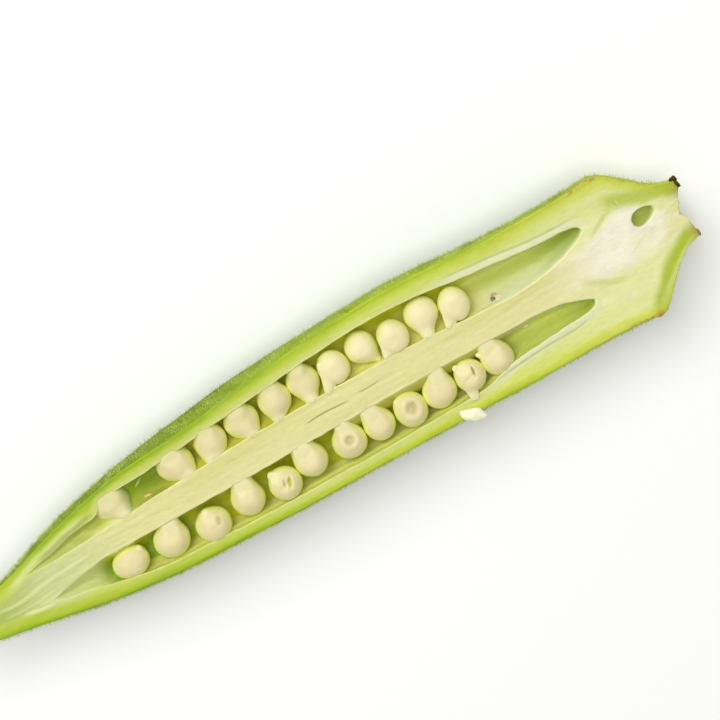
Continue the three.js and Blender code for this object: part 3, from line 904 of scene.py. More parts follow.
def fleshMaterial():
    p = Paint("okraFlesh", fleshLook)
    names = ("rimDistance", "edgeDistance", "sunk", "inside", "outward", "core", "rightward")
    rimDistance, edgeDistance, sunk, inside, outward, core, rightward = map(p.read, names)
    along, across = p.along(), p.axis("Y")
    near = across.fade(0.8 * mm, -0.8 * mm)
    leftward = 1.0 - rightward

    # from the skin inwards, with the bands a little uneven
    waver = p.streak("bands")
    stops = fleshLook["rimStops"]
    top = stops[-1][0]
    share = (rimDistance + waver.fade(0.25, 0.75, -0.3, 0.3, "LINEAR")) / top
    far, close, stem = [p.ramp(share, [(stop[0] / top, stop[n]) for stop in stops]) for n in (1, 2, 3)]
    paler = p.mix(along.fade(42, 78, 0, 0.7) + along.fade(26, 14, 0, 0.65), far, close)
    deeper = p.mix(along.fade(60, 45, 0, 0.9), close, far)
    stem = p.mix(1.0 - near, stem, "farStem", "MULTIPLY")
    bands = p.mix(along.fade(88, 107), p.mix(near, paler, deeper), stem)

    # the core, with green streaks along it, greyer towards the tip
    coreStreaks = p.streak("core").fade(0.4, 0.66) * near.fade(0, 1, 0.9, 0.45)
    coreColour = p.layers(
        "core",
        (coreStreaks, "coreStreak"),
        (along.fade(36, 20, 0, 0.9), "coreTip"),
        (along.fade(22, 12), "tip"),
    )

    # the paler layer beside the chambers, whiter beside their empty ends, and the bright cut edge
    grown = along.fade(22, 34)
    empty = along.fade(82, 89)
    beside = (1.0 - edgeDistance.fade(empty.fade(0, 1, 0.5, 0.95), 1.35)) * (1.0 - core) * grown
    beside *= (near * along.fade(57, 47)).fade(0, 1, 1.0, 0.3)
    frayed = p.streak("frayed").fade(0.35, 0.6, 0.1, 1.0) * (1.0 - empty * core) * 0.65

    # towards the stem the middle turns to white pith with a grey patch
    deepIn = rimDistance + waver.fade(0.3, 0.7, -0.5, 0.5) - near.fade(0, 1, 3.2, 2.6)
    pithward = along.fade(97, 108) * deepIn.fade(0, near.fade(0, 1, 2.6, 3.8))
    whiteLine = along.fade(104, 115, -0.1 * mm, 1.2 * mm)
    offWhite = abs(across - whiteLine) - along.fade(104, 112, 1.4 * mm, 2.6 * mm)
    offWhite = offWhite.fade(0, 2.2 * mm, 0, 0.95)
    clouds = p.streak("clouds").fade(0.45, 0.7, 0, 0.45)
    grey = p.streak("grey").fade(0.52, 0.66) * along.fade(104, 107)

    # brown at the cut stem end, and rusty spots on the shoulders' rim
    corner = along.fade(109.2, 110.2) * near
    shoulder = along.fade(104.5, 107.5) * along.fade(111.2, 110.3)
    shoulder *= rimDistance.fade(corner.fade(0, 1, 0.7, 1.3), 0.1)
    shoulder *= p.streak("rust").fade(0.45, 0.6) | corner
    cutEnd = along.fade(116.8, 120) * rimDistance.fade(3.0, 1.2)

    def drawn(kind):
        # green veins, pale ridges and dark slits
        return abs(p.read(kind + "Offset")).fade(1.6, 0.2) * p.read(kind + "Line")

    # inside the chambers: deep olive between the seeds, pale beyond them
    greened = along.fade(42, 39) * outward.fade(0.05, 0.6) * (rightward | along.fade(31, 35))
    deep = p.layers(
        # painted light: the left chamber's lining is a darker copy on the core's side and a lit copy
        # towards the outer wall, which lies in shade
        p.mix(outward.fade(0.35, 0.75), "liningShadedCopy", "liningLitCopy"),
        (rightward, "liningDeep"),
        (p.streak("cells").fade(0.35, 0.7) * 0.4, "liningPale"),
        # painted light in the shaded pockets beside the core
        (leftward * outward.fade(0.6, 0.2) * along.fade(66, 72, 0, 0.75), "liningPocketLight"),
        (rightward * outward.fade(0.32, 0.22) * along.fade(62.5, 66), "liningRaised"),
        (along.fade(43, 40) * leftward, "liningTip"),
        (greened, "liningGreen"),
    )
    pale = p.mix(outward.fade(0.55, 0.1), "liningPale", "liningWhite")
    pale = p.mix(along.fade(97, 104.5, 0, 0.6), pale, "liningGreen")
    # the outer wall of the right chamber: painted shadow as a darker band under its lip, then a pale shelf,
    # its own paler colour brightened as painted light against the shade there
    onWall = outward.fade(0.86, 0.93) * rightward * along.fade(93, 86) * along.fade(30, 34)
    lining = p.layers(
        p.mix(along.fade(84, 93), deep, pale),
        (onWall * sunk.fade(1.4, 0.7), "lipPaintedShadow"),
        (onWall * sunk.fade(4.4, 3.4) * sunk.fade(0.7, 1.2), "shelfPaleAndLit"),
    )
    # pale and shallow at the tip
    shallow = inside * along.fade(30, 27.5) * along.fade(18.5, 23.5, 0.4, 1)

    colour = p.layers(
        bands,
        (core, coreColour),
        (beside * empty.fade(0, 1, 0.75, 0.95), p.mix(empty, "besideChamber", "besideEmpty")),
        (edgeDistance.fade(0.34, 0.05) * frayed * grown, "cutEdge"),
        (pithward, p.mix(clouds | offWhite, "pith", "pithGreen")),
        (grey * pithward * 0.8, "pithGrey"),
        (shoulder * 0.8, "rust"),
        (cutEnd * 0.8, "stemEnd"),
        *[(drawn(kind), kind + "Line") for kind in ("green", "pale", "dark")],
        (shallow, p.mix(rightward, "tipGroove", "tipLining")),
        (sunk.fade(0.1, 0.9) * along.fade(27.2, 29), lining),
        (p.read("hollow"), "hollow"),
    )
    spots = p.streak("spots").fade(0.3, 0.7, 0.94, 1.04, "LINEAR")
    spots = addNode(p.tree, "ShaderNodeCombineColor", {0: spots, 1: spots, 2: spots})
    colour = p.mix(1.0, colour, spots, "MULTIPLY")
    return p.finish(colour, p.streak("wet").fade(0.3, 0.7, *fleshLook["roughness"]))


skinLook = {
    "dark": (80, 112, 8), "mid": (112, 144, 16), "light": (158, 180, 40), "rim": (170, 192, 44),
    "speck": (196, 210, 92), "scar": (150, 118, 50), "neck": (184, 200, 76),
    "speckSize": 0.45,
    "streaks": {
        "fine": (0.5, 2.5, 4, 21), "rust": (1.3, 1, 4, 23), "blotches": (2.4, 4, 4, 20),
        "wrinkles": (0.6, 2, 4, 22),
    },
    "bumps": [("speck", 0.08, 0.8), ("wrinkles", 0.12, 0.7)],
    "roughness": (0.54, 0.72),
    "shine": 0.12,
}


def skinMaterial():
    p = Paint("okraSkin", skinLook)
    along = p.along()
    depth = podHigh.z - p.axis("Z")
    fine = p.streak("fine").fade(0.4, 0.7)
    cells = {"Vector": p.place(), "Scale": 1 / (skinLook["speckSize"] * mm)}
    speck = addNode(p.tree, "ShaderNodeTexVoronoi", cells)["Distance"].fade(0.26, 0.1)
    rust = p.streak("rust").fade(0.48, 0.6)
    colour = p.layers(
        "dark",
        (p.streak("blotches").fade(0.32, 0.68), "mid"),
        (fine * 0.7, "light"),
        # lighter beside the cut, from the middle of the pod to the stem
        (depth.fade(3 * mm, 0.6 * mm) * along.fade(32, 75, 0.12, 1.0), "rim"),
        (along.fade(107, 111.5) * 0.9, "neck"),
        (speck * 0.6, "speck"),
        (p.read("scar") * rust * 0.8, "scar"),
    )
    return p.finish(colour, fine.fade(0, 1, *skinLook["roughness"]), speck=speck)


pod = buildPod([skinMaterial(), fleshMaterial()])
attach(pod, "root")
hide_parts("half_pod")
print("pod made:", len(pod.data.polygons), "faces")


seedLook = {
    "rings": 72,
    "around": 76,
    "startOut": 5.0,  # how far out the search for the surface starts, and the least distance it ends at
    "leastOut": 0.2,
    "steps": 60,  # from there in to the surface, each this share of the distance left
    "stepShare": 0.8,
    "beakLength": 0.45,  # of the plain seed in the frame
    "upperHeight": 0.84,  # of the upper half, as a share of a ball's
    "rootDepth": 1.1,  # how far a stalk runs on inside the core
    "rootTop": 0.07,  # how far it stands above the cut at the core's edge
    "rootSlope": 0.24,  # how steeply it dips into the cut from there
    "rootCut": 0.3,  # how much of its top is levelled away
    "brimTop": 0.12,  # how far a seed stands above the cut at the outer wall
    "brimLevel": 0.2,  # and how far on it stays so
    "blend": 0.9,  # how widely a stalk is rounded into the seed
    "touchRadius": 0.9,  # of the rounded edge where a seed meets the outer wall
    "touchTop": 0.1,  # how far that edge stands above the cut
    "touchInset": 0.25,  # and how far in from the wall's edge its middle lies
    "touchBlend": 1.25,  # how widely that edge is rounded into the seed
    "creaseBlend": 0.22,  # the same for the strips and stubs, which stay crisp
    "ceilingBlend": 0.08,  # how softly a stalk's top is levelled
    "lightFrom": (0, 0.12, 0.993),  # the way a coat faces where it looks palest; the painted glow at its edge grows as it turns away from this
    # the edge colour is the coat's yellow-green made brighter as painted light, for the glow at a seed's
    # rim
    "body": (226, 217, 164), "mottle": (228, 212, 164), "edge": (238, 241, 134), "brim": (212, 212, 144),
    "stalk": (233, 228, 176), "root": (226, 221, 160), "veil": (184, 196, 116), "olive": (202, 198, 96),
    "rose": (206, 192, 140), "brown": (186, 158, 98),
    "youngBody": (236, 226, 178),  # of the left row's seeds from youngFrom on, in mm from the tip
    "youngFrom": (62, 69),
    "streaks": {"mottle": (0.9, 1, 3, 30), "pores": (0.35, 1, 4, 31), "dimples": (1.1, 1, 3, 32)},
    "bumps": [("pores", 0.03, 0.5), ("dimples", 0.1, 0.4)],
    "roughness": (0.42, 0.55),
    "shine": 0.35,
    "glow": (0.6, (1.0, 0.98, 0.85), 0.7),
}

# What sets one seed apart, in mm. "shift" moves it: (along, towards the core, up). "swell" stretches it
# along and across the pod. "stalk" is where its stalk leaves the seed and where it meets the core, "aprons"
# are where it runs out broadly, and "strips" are narrow folds and stubs; each end is (along, towards the
# core, up, radius) from the seed's middle, with None for as far as the core. "touch" is half the width over
# which it meets the wall. A dent is (along, towards the core, half length, half width, depth, turn in
# degrees, colour, raised lip). "veil" is a greener film: (least share, where it begins, where it is full).
seedShapes = {
    "seed_left_01": {
        "shift": (-0.35, 0.05, 0.4), "swell": (1.26, 1.16),
        "stalk": [(0.4, 0.6, 0.2, 1.4), (1.3, None, 0, 1.3)], "touch": 1.0,
        "aprons": [
            [(0.9, -0.2, -0.7, 1.4), (1.8, 0.1, -2.2, 1.3)],
            [(-0.6, -0.4, 0.1, 1.3), (-1.6, -0.6, 0.1, 0.9)],
        ],
        "veil": (0.08, 1.1, 2.7),
    },
    "seed_left_02": {
        "shift": (0.25, 0, 0), "swell": (1.12, 1.05), "stalk": [(0.5, 0.4, 0, 1.65), (1.15, None, 0, 1.15)],
        "touch": 0.5,
    },
    "seed_left_03": {
        "shift": (0.1, 0.05, 0), "swell": (1.02, 1.1),
        "stalk": [(-0.4, 0.3, 0, 1.55), (-0.65, None, 0, 1.5)], "touch": 0.35,
        "strips": [[(-1.2, -0.2, -0.4, 1.0), (-1.75, -0.3, -0.4, 0.72)]],
    },
    "seed_left_04": {
        "shift": (-0.2, 0, 0), "swell": (1.09, 1.09), "stalk": [(0.2, 0.6, 0, 1.4), (0.72, None, 0, 1.0)],
        "touch": 0.35,
    },
    "seed_left_05": {
        "shift": (0.03, 0, 0), "swell": (1.03, 1.07),
        "stalk": [(-0.6, 0.6, 0.1, 1.0), (-0.7, None, 0, 0.85)], "touch": 0.25,
    },
    "seed_left_06": {
        "shift": (0.2, 0.05, 0), "swell": (1.04, 1.07),
        "stalk": [(-0.1, 0.6, 0.1, 1.2), (-0.1, None, 0, 0.95)], "touch": 0.15,
    },
    "seed_left_07": {
        "shift": (0.05, 0.15, 0), "swell": (1.0, 1.12), "stalk": [(0, 0.2, 0, 1.6), (0.2, 0.55, -0.2, 1.6)],
        "strips": [[(-1.35, -1.2, 0.8, 0.5), (-2.1, None, 0, 0.72)]],
    },
    "seed_left_08": {
        "shift": (0.03, 0, 0), "swell": (1.0, 1.04),
        "stalk": [(0.15, 0.3, 0.1, 1.65), (1.35, 2.55, 0.1, 0.5)],
    },
    "seed_left_09": {
        "swell": (0.98, 1.1), "stalk": [(0, 0.2, 0, 1.6), (0.1, 0.45, -0.1, 1.6)],
        "strips": [[(-1.5, -0.4, 0.7, 0.5), (-2.0, None, 0, 0.68)]],
    },
    "seed_left_10": {
        "shift": (0.35, 0, 0), "swell": (1.09, 1.06),
        "stalk": [(-0.35, 0.7, 0.1, 1.15), (-0.55, None, 0, 0.95)],
    },
    "seed_left_11": {
        "shift": (0, 0.1, 0), "swell": (0.97, 1.12), "stalk": [(0, 0.2, 0, 1.6), (0.2, 0.5, -0.1, 1.6)],
        "strips": [[(-1.3, -1.0, 0.7, 0.5), (-2.05, None, 0, 0.7)]],
    },
    "seed_right_01": {
        "shift": (-0.3, 0, 0), "swell": (1.1, 0.93), "stalk": [(0.3, 0.2, 0.3, 1.5), (0.9, 0.5, 0.3, 1.3)],
        "strips": [[(1.2, 0.7, 0.5, 0.7), (1.9, 1.3, 0.7, 0.5)]],
    },
    "seed_right_02": {
        "shift": (-0.28, 0, 0), "swell": (1.06, 1.0), "stalk": [(0.4, 0.5, 0.2, 1.5), (1.3, None, 0, 1.2)],
    },
    "seed_right_03": {
        "shift": (-0.33, -0.3, 0), "swell": (1.06, 1.04),
        "stalk": [(0, 0.5, 0.2, 1.5), (-0.1, 1.3, 0.4, 0.95)],
        "strips": [[(-0.1, 1.0, 0.5, 0.7), (-0.15, 2.1, 0.6, 0.6)]],
        "dents": [(0.95, 0.6, 0.4, 0.7, 0.1, -15, "rose", 0.02)],
    },
    "seed_right_04": {
        "swell": (1.02, 1.06), "stalk": [(0.1, 0.5, 0.1, 1.6), (0.4, None, 0, 1.5)],
        "strips": [[(-0.3, 0.5, 1.2, 0.4), (-0.35, None, 0.1, 0.5)]],
    },
    "seed_right_05": {
        "swell": (1.04, 1.08), "stalk": [(-0.2, 0.4, 0.3, 1.4), (-0.6, 1.2, 0.4, 0.95)],
        "strips": [[(-0.8, 1.2, 0.6, 0.75), (-1.1, 2.0, 0.6, 0.62)]],
        "dents": [
            (0.65, 0.25, 0.26, 0.78, 0.5, -18, "olive", 0.0),
            (-0.1, 0.5, 0.16, 0.75, 0.08, -12, "rose", 0.08),
        ],
    },
    "seed_right_06": {
        "shift": (-0.3, -0.1, 0.25), "swell": (1.05, 1.06),
        "stalk": [(-0.3, 0.5, 0.2, 1.6), (-0.4, None, 0, 1.75)],
        "strips": [[(-1.0, 1.0, 0.9, 0.5), (-1.35, None, 0.1, 0.6)]],
    },
    "seed_right_07": {
        "shift": (-0.18, 0, 0), "swell": (1.08, 1.08),
        "stalk": [(0.2, 0.7, 0.3, 1.2), (0.1, None, 0, 1.05)],
        "dents": [
            (0.1, 0.5, 0.8, 0.7, 0.3, 20, "rose", 0.06),
            (0.2, 0.45, 0.4, 0.34, 0.05, 20, "olive", 0),
        ],
    },
    "seed_right_08": {
        "shift": (-0.08, -0.15, 0.3), "swell": (1.04, 1.1),
        "stalk": [(-0.3, 0.4, 0.2, 1.5), (-0.55, None, 0, 1.5)],
    },
    "seed_right_09": {
        "swell": (1.02, 1.13), "stalk": [(-0.3, 0.5, 0.3, 1.3), (-0.7, 1.2, 0.3, 0.9)],
        "strips": [[(-0.9, 1.3, 0.6, 0.6), (-1.25, 1.95, 0.6, 0.45)]],
        "dents": [
            (0.2, 0.55, 0.9, 1.05, 0.28, -12, "rose", 0.14),
            (0.5, 0.5, 0.32, 0.7, 0.16, -12, "olive", 0.0),
        ],
    },
    "seed_right_10": {
        "shift": (0, -0.3, 0.45), "swell": (1.08, 1.06),
        "stalk": [(0.4, 0.4, 0.2, 1.5), (0.95, None, 0.1, 1.1)],
    },
    "seed_right_11": {
        "shift": (0, -0.1, 0), "swell": (1.02, 1.1),
        "stalk": [(-0.2, 0.3, 0.2, 1.4), (-0.4, 0.9, 0.2, 1.2)],
        "strips": [
            [(-0.9, 1.1, 0.7, 0.6), (-1.3, 2.0, 0.6, 0.5)],
            [(-0.25, 0.8, 1.0, 0.45), (-0.2, 1.85, 0.6, 0.42)],
            [(-1.0, -0.6, 0.4, 0.75), (-0.85, -2.6, 0.9, 0.66)],
        ],
        "dents": [(0.55, 0.75, 0.2, 0.75, 0.3, -6, "brown", 0.06)],
    },
    "seed_right_12": {
        "shift": (-0.3, -0.35, 0.4), "swell": (1.04, 1.1),
        "stalk": [(-0.3, 0.5, 0.2, 1.5), (-0.7, None, 0, 1.3)],
        "strips": [[(-1.6, 1.2, 0.6, 0.45), (-2.2, 1.9, 0.7, 0.3)]],
    },
}


def seedMaterial():
    p = Paint("okraSeed", seedLook)
    mottle = p.streak("mottle").fade(0.35, 0.65)
    colour = p.layers(
        "body",
        (mottle * 0.8, "mottle"),
        (p.read("young"), "youngBody"),
        (p.read("stalk") * 0.7, "stalk"),
        # the coat shows as a yellow-green edge where it turns down: partly its own colour, partly painted
        # light, a translucent glow laid on by the surface's angle and brightened against the shade there
        (p.read("edgeGlowFacing").fade(0.84, 0.42) * 0.9, "edge"),
        (p.read("touching") * 0.9, "brim"),
        (p.read("rooted"), "root"),
        *[(p.read(kind), kind) for kind in ("veil", "olive", "rose", "brown")],
    )
    return p.finish(colour, mottle.fade(0, 1, *seedLook["roughness"]))


def seedPlace(name):
    # the middle and radius of a seed, read off its plain solid
    corners = np.array([v.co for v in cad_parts[name].data.vertices]) / mm
    middle = corners.mean(0)
    beakTip = corners[np.argmax(np.linalg.norm(corners - middle, axis=1))]
    back = corners[np.argmax(np.linalg.norm(corners - beakTip, axis=1))]
    length = np.linalg.norm(beakTip - back)
    radius = (length - seedLook["beakLength"]) / 2
    return back + (beakTip - back) / length * radius, radius


def smoothUnion(a, b, reach):
    # the nearer of two surfaces, rounded where they meet
    share = np.clip(0.5 + 0.5 * (b - a) / reach, 0, 1)
    return b * (1 - share) + a * share - reach * share * (1 - share)


def limbDistance(points, ends):
    # distance from a rod that runs from one (along, towards the core, up, radius) to the other
    (*start, startRadius), (*end, endRadius) = ends
    start, line = np.array(start), np.subtract(end, start)
    share = np.clip((points - start) @ line / (line @ line), 0, 1)
    gap = np.linalg.norm(points - start - share[..., None] * line, axis=-1)
    return gap - (startRadius + (endRadius - startRadius) * share)


def aroundAxis(axis, rings, around):
    # directions from a middle, on rings round an axis, closer together at the axis's end
    axis = np.array(axis) / np.linalg.norm(axis)
    sideways = np.cross((0.0, 0.0, 1.0), axis)
    sideways /= np.linalg.norm(sideways)
    upward = np.cross(axis, sideways)
    polar = np.linspace(0, 1, rings + 2)[1:-1]
    polar = math.pi * (0.7 * polar + 0.3 * polar**2)[:, None, None]
    turn = np.linspace(0, 2 * math.pi, around, endpoint=False)[None, :, None]
    way = np.cos(polar) * axis + np.sin(polar) * (np.cos(turn) * upward + np.sin(turn) * sideways)
    return np.concatenate([way.reshape(-1, 3), [axis, -axis]])


def ballFaces(rings, around, turnedRound=False):
    # faces over the points of aroundAxis
    total = rings * around
    faces = ringFaces(range(0, total, around), around)
    faces += fanFaces(0, around, total, True) + fanFaces(total - around, around, total + 1)
    return [face[::-1] for face in faces] if turnedRound else faces


def buildSeed(name, material, number):
    look, own = seedLook, seedShapes[name]
    row = name.split("_")[1]
    side = chambers[row]["side"]
    centre, radius = seedPlace(name)
    shiftAlong, shiftInward, shiftUp = own.get("shift", (0, 0, 0))
    centre = centre + (shiftAlong, -side * shiftInward, shiftUp)
    along = centre[0] - podLow.x / mm
    across = side * (centre[1] - axisShift)
    height = centre[2] - cutHeight
    innerEdge = smoothCurve(chambers[row]["inner"])
    outerEdge = smoothCurve(chambers[row]["outer"])

    def settled(limb):
        # the same limb with its far end taken into the core, a little above the cut
        leave, (x, y, up, r) = limb
        if y is not None:
            return limb
        y = across - float(innerEdge(along + x)) + look["rootDepth"]
        return (leave, (x, y, look["rootTop"] + look["rootCut"] - r - height + up, r))

    stalk = settled(own["stalk"])
    strips = [settled(strip) for strip in own.get("strips", ())]
    limbs = [(stalk, look["blend"])] + [(strip, look["creaseBlend"]) for strip in strips]
    limbs += [(apron, look["blend"]) for apron in own.get("aprons", ())]
    if "touch" in own:
        r = look["touchRadius"]
        middle = look["touchTop"] - r - height
        ends = [
            (x, across - float(outerEdge(along + x)) + look["touchInset"], middle, r)
            for x in (-own["touch"], own["touch"])
        ]
        limbs.append((ends, look["touchBlend"]))

    # step in from outside until each direction meets the seed
    way = aroundAxis(stalk[1][:3], look["rings"], look["around"])
    radii = radius * np.array([*own["swell"], 1.0])
    radii = np.where(way[:, 2:] > 0, radii * (1, 1, look["upperHeight"]), radii)

    def bodyDistance(spot):
        return (np.linalg.norm(spot / radii, axis=-1) - 1) * radii.min(axis=-1)

    far = np.full(len(way), radius + look["startOut"])
    for _ in range(look["steps"]):
        spot = way * far[:, None]
        surface = bodyDistance(spot)
        for limb, reach in limbs:
            surface = smoothUnion(surface, limbDistance(spot, limb), reach)
        far = np.maximum(far - look["stepShare"] * surface, look["leastOut"])
    spot = way * far[:, None]
    body = bodyDistance(spot)
    spot = spot + way * uneven("seed", spot, number)[:, None]

    # what stands off the seed is level with the cut, and dips into the core and the wall
    inEdge = across - innerEdge(along + spot[:, 0])
    outEdge = across - outerEdge(along + spot[:, 0])
    rise = (look["brimTop"] - look["rootTop"]) * smoothStep(0.6, 0.1, spot[:, 1] - outEdge)
    dip = np.maximum(spot[:, 1] - inEdge, 0) + np.maximum(outEdge - spot[:, 1] - look["brimLevel"], 0)
    ceiling = look["rootTop"] + rise - look["rootSlope"] * dip - height
    over = np.logaddexp(0, (spot[:, 2] - ceiling) / look["ceilingBlend"]) * look["ceilingBlend"]
    spot[:, 2] -= over * smoothStep(0.0, 0.35, body)

    masks = {kind: np.zeros(len(way)) for kind in ("olive", "rose", "brown", "veil", "young", "touching")}
    for x, y, halfLength, halfWide, depth, turned, kind, lip in own.get("dents", ()):
        x, y = spot[:, 0] - x, spot[:, 1] - y
        c, n = math.cos(math.radians(turned)), math.sin(math.radians(turned))
        reach = np.hypot((c * x + n * y) / halfLength, (c * y - n * x) / halfWide)
        onTop = smoothStep(0.1, 0.5, way[:, 2])
        bowl = smoothStep(1.3, 0.35, reach) * onTop
        ring = bell((reach - 1.6) / 0.4) * onTop
        spot[:, 2] += lip * ring - depth * bowl
        masks[kind] = np.maximum(masks[kind], smoothStep(1.2, 0.5, reach) * onTop)

    stalked = smoothStep(0.15, 0.7, body)
    for strip in strips:
        stalked = np.maximum(stalked, smoothStep(0.25, 0.0, limbDistance(spot, strip)))
    masks["stalk"] = stalked
    masks["rooted"] = smoothStep(-0.25, 0.45, spot[:, 1] - inEdge)
    if "touch" in own:
        masks["touching"] = smoothStep(0.75, 1.05, spot[:, 1] / outEdge)
    if row == "left":
        masks["young"] += smoothStep(*look["youngFrom"], along)
    if "veil" in own:
        least, start, end = own["veil"]
        masks["veil"] = least + (1 - least) * smoothStep(start, end, spot[:, 0])

    points = np.stack([spot[:, 0], -side * spot[:, 1], spot[:, 2]], axis=-1) + centre
    faces = ballFaces(look["rings"], look["around"], side > 0)
    seed = meshObject(name.replace("seed", "okraSeed"), points, faces, [material], None, masks)
    normals = np.empty(len(points) * 3)
    seed.data.vertex_normals.foreach_get("vector", normals)
    # how far each point faces the way in lightFrom, for the painted glow at the edge
    addMask(seed.data, "edgeGlowFacing", normals.reshape(-1, 3) @ look["lightFrom"])
    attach(seed, "root")
    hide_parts(name)


seedCoat = seedMaterial()
for number, name in enumerate(seedShapes):
    buildSeed(name, seedCoat, number)
print("seeds made:", len(seedShapes))


# Small things lying on the pod. Each is placed where it shows on the pod, (from the tip, across), and has
# half sizes along, across and up, a turn in degrees, how far it stands out (share of its height), and the
# share of one of the colours below, over the pale one.
scraps = {
    "witheredSeed": ((91.25, 2.3), (0.3, 0.4, 0.26), 20, 0.3, "brown", 1.0),
    "witheredTail": ((91.65, 2.85), (0.36, 0.26, 0.2), -30, 0.1, "olive", 0.9),
    "witheredHalo": ((91.75, 2.2), (0.85, 0.75, 0.2), 10, -0.35, "orange", 0.35),
    "smallBump": ((93.7, -3.2), (0.55, 0.5, 0.35), 0, -0.1, "olive", 0.35),
    # painted highlight: a pale sliver on a curl of film, standing for the glint along it
    "curlGlint": ((37.45, 4.7), (0.75, 0.12, 0.16), 25, 0.9, "green", 0.75),
    "orangeFleck": ((38.0, 2.3), (0.55, 0.22, 0.2), -20, 0.2, "orange", 0.9),
    "crumb": ((81.45, -10.25), (1.6, 0.95, 0.5), -30, 0.5, "green", 0),
    "darkStub": ((119.9, 4.3), (0.45, 0.5, 0.5), 20, 0.1, "dark", 1.0),
    "darkHook": ((120.1, 3.65), (0.28, 0.6, 0.45), 12, 0.1, "dark", 1.0),
    "darkSpeck": ((119.75, -3.75), (0.16, 0.5, 0.3), 0, 0.1, "dark", 0.8),
}
scrapLook = {
    "rings": 18,
    "around": 24,
    "pale": (244, 242, 208), "green": (206, 220, 130), "olive": (168, 150, 84), "orange": (226, 176, 96),
    "brown": (112, 78, 34), "dark": (92, 74, 14), "darker": (38, 26, 4),
    "streaks": {"mottle": (0.25, 1, 4, 60), "pores": (0.15, 1, 3, 61)},
    "bumps": [("pores", 0.04, 0.5)],
    "roughness": (0.6, 0.8),
    "shine": 0.15,
    "glow": (0.4, (1.0, 0.9, 0.6), 0.5),
}
scrapKinds = ("green", "olive", "orange", "brown", "dark")


def scrapMaterial():
    p = Paint("okraScrap", scrapLook)
    mottle = p.streak("mottle").fade(0.35, 0.65, 0.75, 1.0)
    dark = p.mix(mottle.fade(0.75, 1), "dark", "darker")
    layers = [(p.read(kind) * mottle, kind) for kind in scrapKinds[:-1]]
    colour = p.layers("pale", *layers, (p.read("dark"), dark))
    return p.finish(colour, mottle.fade(0.75, 1, *scrapLook["roughness"]))


def buildScrap(name, material, number):
    at, size, turn, out, ownKind, amount = scraps[name]
    start = Vector(toFrame(*at, 0)) * mm + towardsView * 0.02
    hit, spot, normal, _ = pod.ray_cast(start, -towardsView)
    if not hit:
        raise ValueError(name + " doesn't lie on the pod")
    way = aroundAxis((1, 0, 0), scrapLook["rings"], scrapLook["around"])
    x, y, z = (way * size * (1 + uneven("scrap", way, number))[:, None]).T
    c, n = math.cos(math.radians(turn)), math.sin(math.radians(turn))
    flat = Vector((1, 0, -normal.x / max(normal.z, 0.3))).normalized()
    side = normal.cross(flat)
    base = np.array(spot) / mm + np.array(normal) * out * size[2]
    points = base + np.outer(x * c - y * n, flat) + np.outer(x * n + y * c, side) + np.outer(z, normal)
    masks = {kind: np.full(len(points), amount if kind == ownKind else 0.0) for kind in scrapKinds}
    faces = ballFaces(scrapLook["rings"], scrapLook["around"])
    scrap = meshObject(name, points, faces, [material], None, masks)
    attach(scrap, "root")


bpy.context.view_layer.update()
scrapCoat = scrapMaterial()
for number, name in enumerate(scraps):
    buildScrap(name, scrapCoat, number)
print("scraps made:", len(scraps))


downLook = {
    "density": 5.5,  # hairs to a square millimetre
    "rimDensity": 24,
    "rimBand": 2.2,  # how far down from the cut that reaches
    "bareBelow": 0.5,  # no hairs nearer the table than this
    # the share of them missing at the stem, the stretch over which it grows, and that over which all the
    # hairs come in at the tip
    "stemLoss": 0.85,
    "stemFrom": (104, 112),
    "tipFrom": (0, 6),
    "length": 0.52,
    "lengths": (0.45, 1.35),  # shortest and longest, as shares of that
    "radius": 0.034,
    "lean": 0.55,  # radians
    "seed": 3,
    "pale": (208, 218, 128),
    "deep": (150, 172, 56),
    "streaks": {"tint": (1.5, 2, 3, 50)},
    "shine": 0.12,
}


def downMaterial():
    p = Paint("okraDown", downLook)
    tint = p.streak("tint").fade(0.3, 0.7)
    return p.finish(p.mix(tint, "deep", "pale"), 0.6)


def downNodes(material):
    look = downLook
    inputs = {
        "Geometry": None,
        "Density": look["density"] / mm**2,
        "Length": look["length"] * mm,
        "Radius": look["radius"] * mm,
        "Lean": look["lean"],
        "Seed": look["seed"],
    }
    tree, entry, leave = newGroup("skinDown", "GeometryNodeTree", inputs, "Geometry", "Geometry")

    def add(kind, inputs, **settings):
        return addNode(tree, kind, inputs, **settings)

    share = add("GeometryNodeInputNamedAttribute", {"Name": "down"}, data_type="FLOAT")
    spread = {"Mesh": entry["Geometry"], "Density": entry["Density"] * share, "Seed": entry["Seed"]}
    scatter = add("GeometryNodeDistributePointsOnFaces", spread, distribute_method="RANDOM")
    cone = {
        "Vertices": 3,
        "Side Segments": 1,
        "Fill Segments": 1,
        "Radius Top": 0.0,
        "Radius Bottom": entry["Radius"],
        "Depth": entry["Length"],
    }
    hair = add("GeometryNodeMeshCone", cone, fill_type="NGON")
    lean = entry["Lean"]
    low = add("ShaderNodeCombineXYZ", {"X": lean * -1.0, "Y": lean * -1.0, "Z": -math.pi})
    high = add("ShaderNodeCombineXYZ", {"X": lean, "Y": lean, "Z": math.pi})
    random = "FunctionNodeRandomValue"
    tilt = add(random, {0: low, 1: high, "Seed": entry["Seed"]}, data_type="FLOAT_VECTOR")
    turned = {"Rotation": scatter["Rotation"], "Rotate By": tilt}
    shortest, longest = look["lengths"]
    placed = {
        "Points": scatter,
        "Instance": hair,
        "Rotation": add("FunctionNodeRotateRotation", turned, rotation_space="LOCAL"),
        "Scale": add(random, {2: shortest, 3: longest, "Seed": entry["Seed"]}, data_type="FLOAT")[1],
    }
    placed = add("GeometryNodeInstanceOnPoints", placed)
    real = add("GeometryNodeRealizeInstances", {"Geometry": placed})
    setInput(leave, add("GeometryNodeSetMaterial", {"Geometry": real, "Material": material}))
    return tree


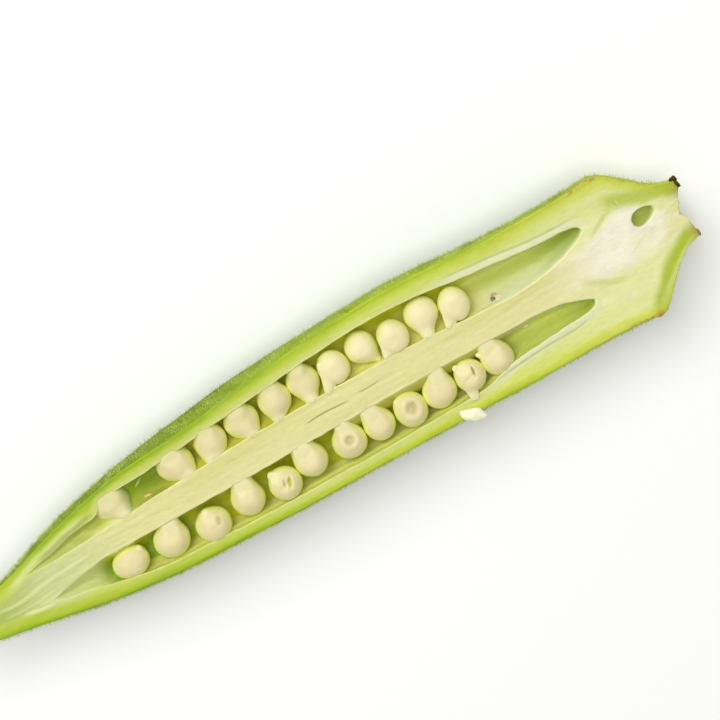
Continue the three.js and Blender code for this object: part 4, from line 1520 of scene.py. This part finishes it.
def buildDown():
    # hairs all over the skin, thicker beside the cut, scattered on a copy of the skin's faces
    look = downLook
    mesh = pod.data
    points = np.empty(len(mesh.vertices) * 3)
    mesh.vertices.foreach_get("co", points)
    points = points.reshape(-1, 3) / mm
    skinFaces = [tuple(p.vertices) for p in mesh.polygons if p.material_index == 0]
    depth = cutHeight - points[:, 2]
    along = points[:, 0] - podLow.x / mm
    share = np.where(depth < look["rimBand"], look["rimDensity"] / look["density"], 1.0)
    share = share * np.where(points[:, 2] < look["bareBelow"], 0.0, 1.0)
    share = share * (1 - look["stemLoss"] * smoothStep(*look["stemFrom"], along))
    share = share * smoothStep(*look["tipFrom"], along)
    base = meshObject("downBase", points, skinFaces, masks={"down": share})
    base.modifiers.new("down", "NODES").node_group = downNodes(downMaterial())
    bpy.context.view_layer.update()
    evaluated = base.evaluated_get(bpy.context.evaluated_depsgraph_get())
    grown = bpy.data.meshes.new_from_object(evaluated)
    bpy.data.objects.remove(base)
    down = newObject("skinDown", grown)
    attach(down, "root")
    return down


down = buildDown()
print("down grown:", len(down.data.polygons), "faces")


studio = {
    "floor": (0.97, 0.965, 0.945),
    "floorSize": 6,
    "floorRoughness": 0.8,
    # each lamp's size in metres, power in watts and place
    "lamps": {"keyLight": (0.6, 4.4, (-0.2, 0.55, 0.7)), "fillLight": (0.5, 3.3, (-0.05, 0.15, 0.92))},
    "ambient": 0.35,
    "shine": 0.5,
}


def addFloor():
    bpy.ops.mesh.primitive_plane_add(size=studio["floorSize"])
    floor = bpy.context.object
    floor.name = "floor"
    paint = Paint("floorPaint", studio).finish((*studio["floor"], 1), studio["floorRoughness"])
    floor.data.materials.append(paint)


def addLight(name, size, energy, place):
    light = bpy.data.lights.new(name, "AREA")
    light.shape = "DISK"
    light.size = size
    light.energy = energy
    made = newObject(name, light)
    made.location = place
    made.rotation_euler = (-Vector(place)).to_track_quat("-Z", "Y").to_euler()


addFloor()
for name, lamp in studio["lamps"].items():
    addLight(name, *lamp)
world = bpy.data.worlds.new("studio")
bpy.context.scene.world = world
world.use_nodes = True
background = world.node_tree.nodes["Background"]
background.inputs["Color"].default_value = (1, 1, 1, 1)
background.inputs["Strength"].default_value = studio["ambient"]
bpy.context.scene.view_settings.view_transform = "Standard"
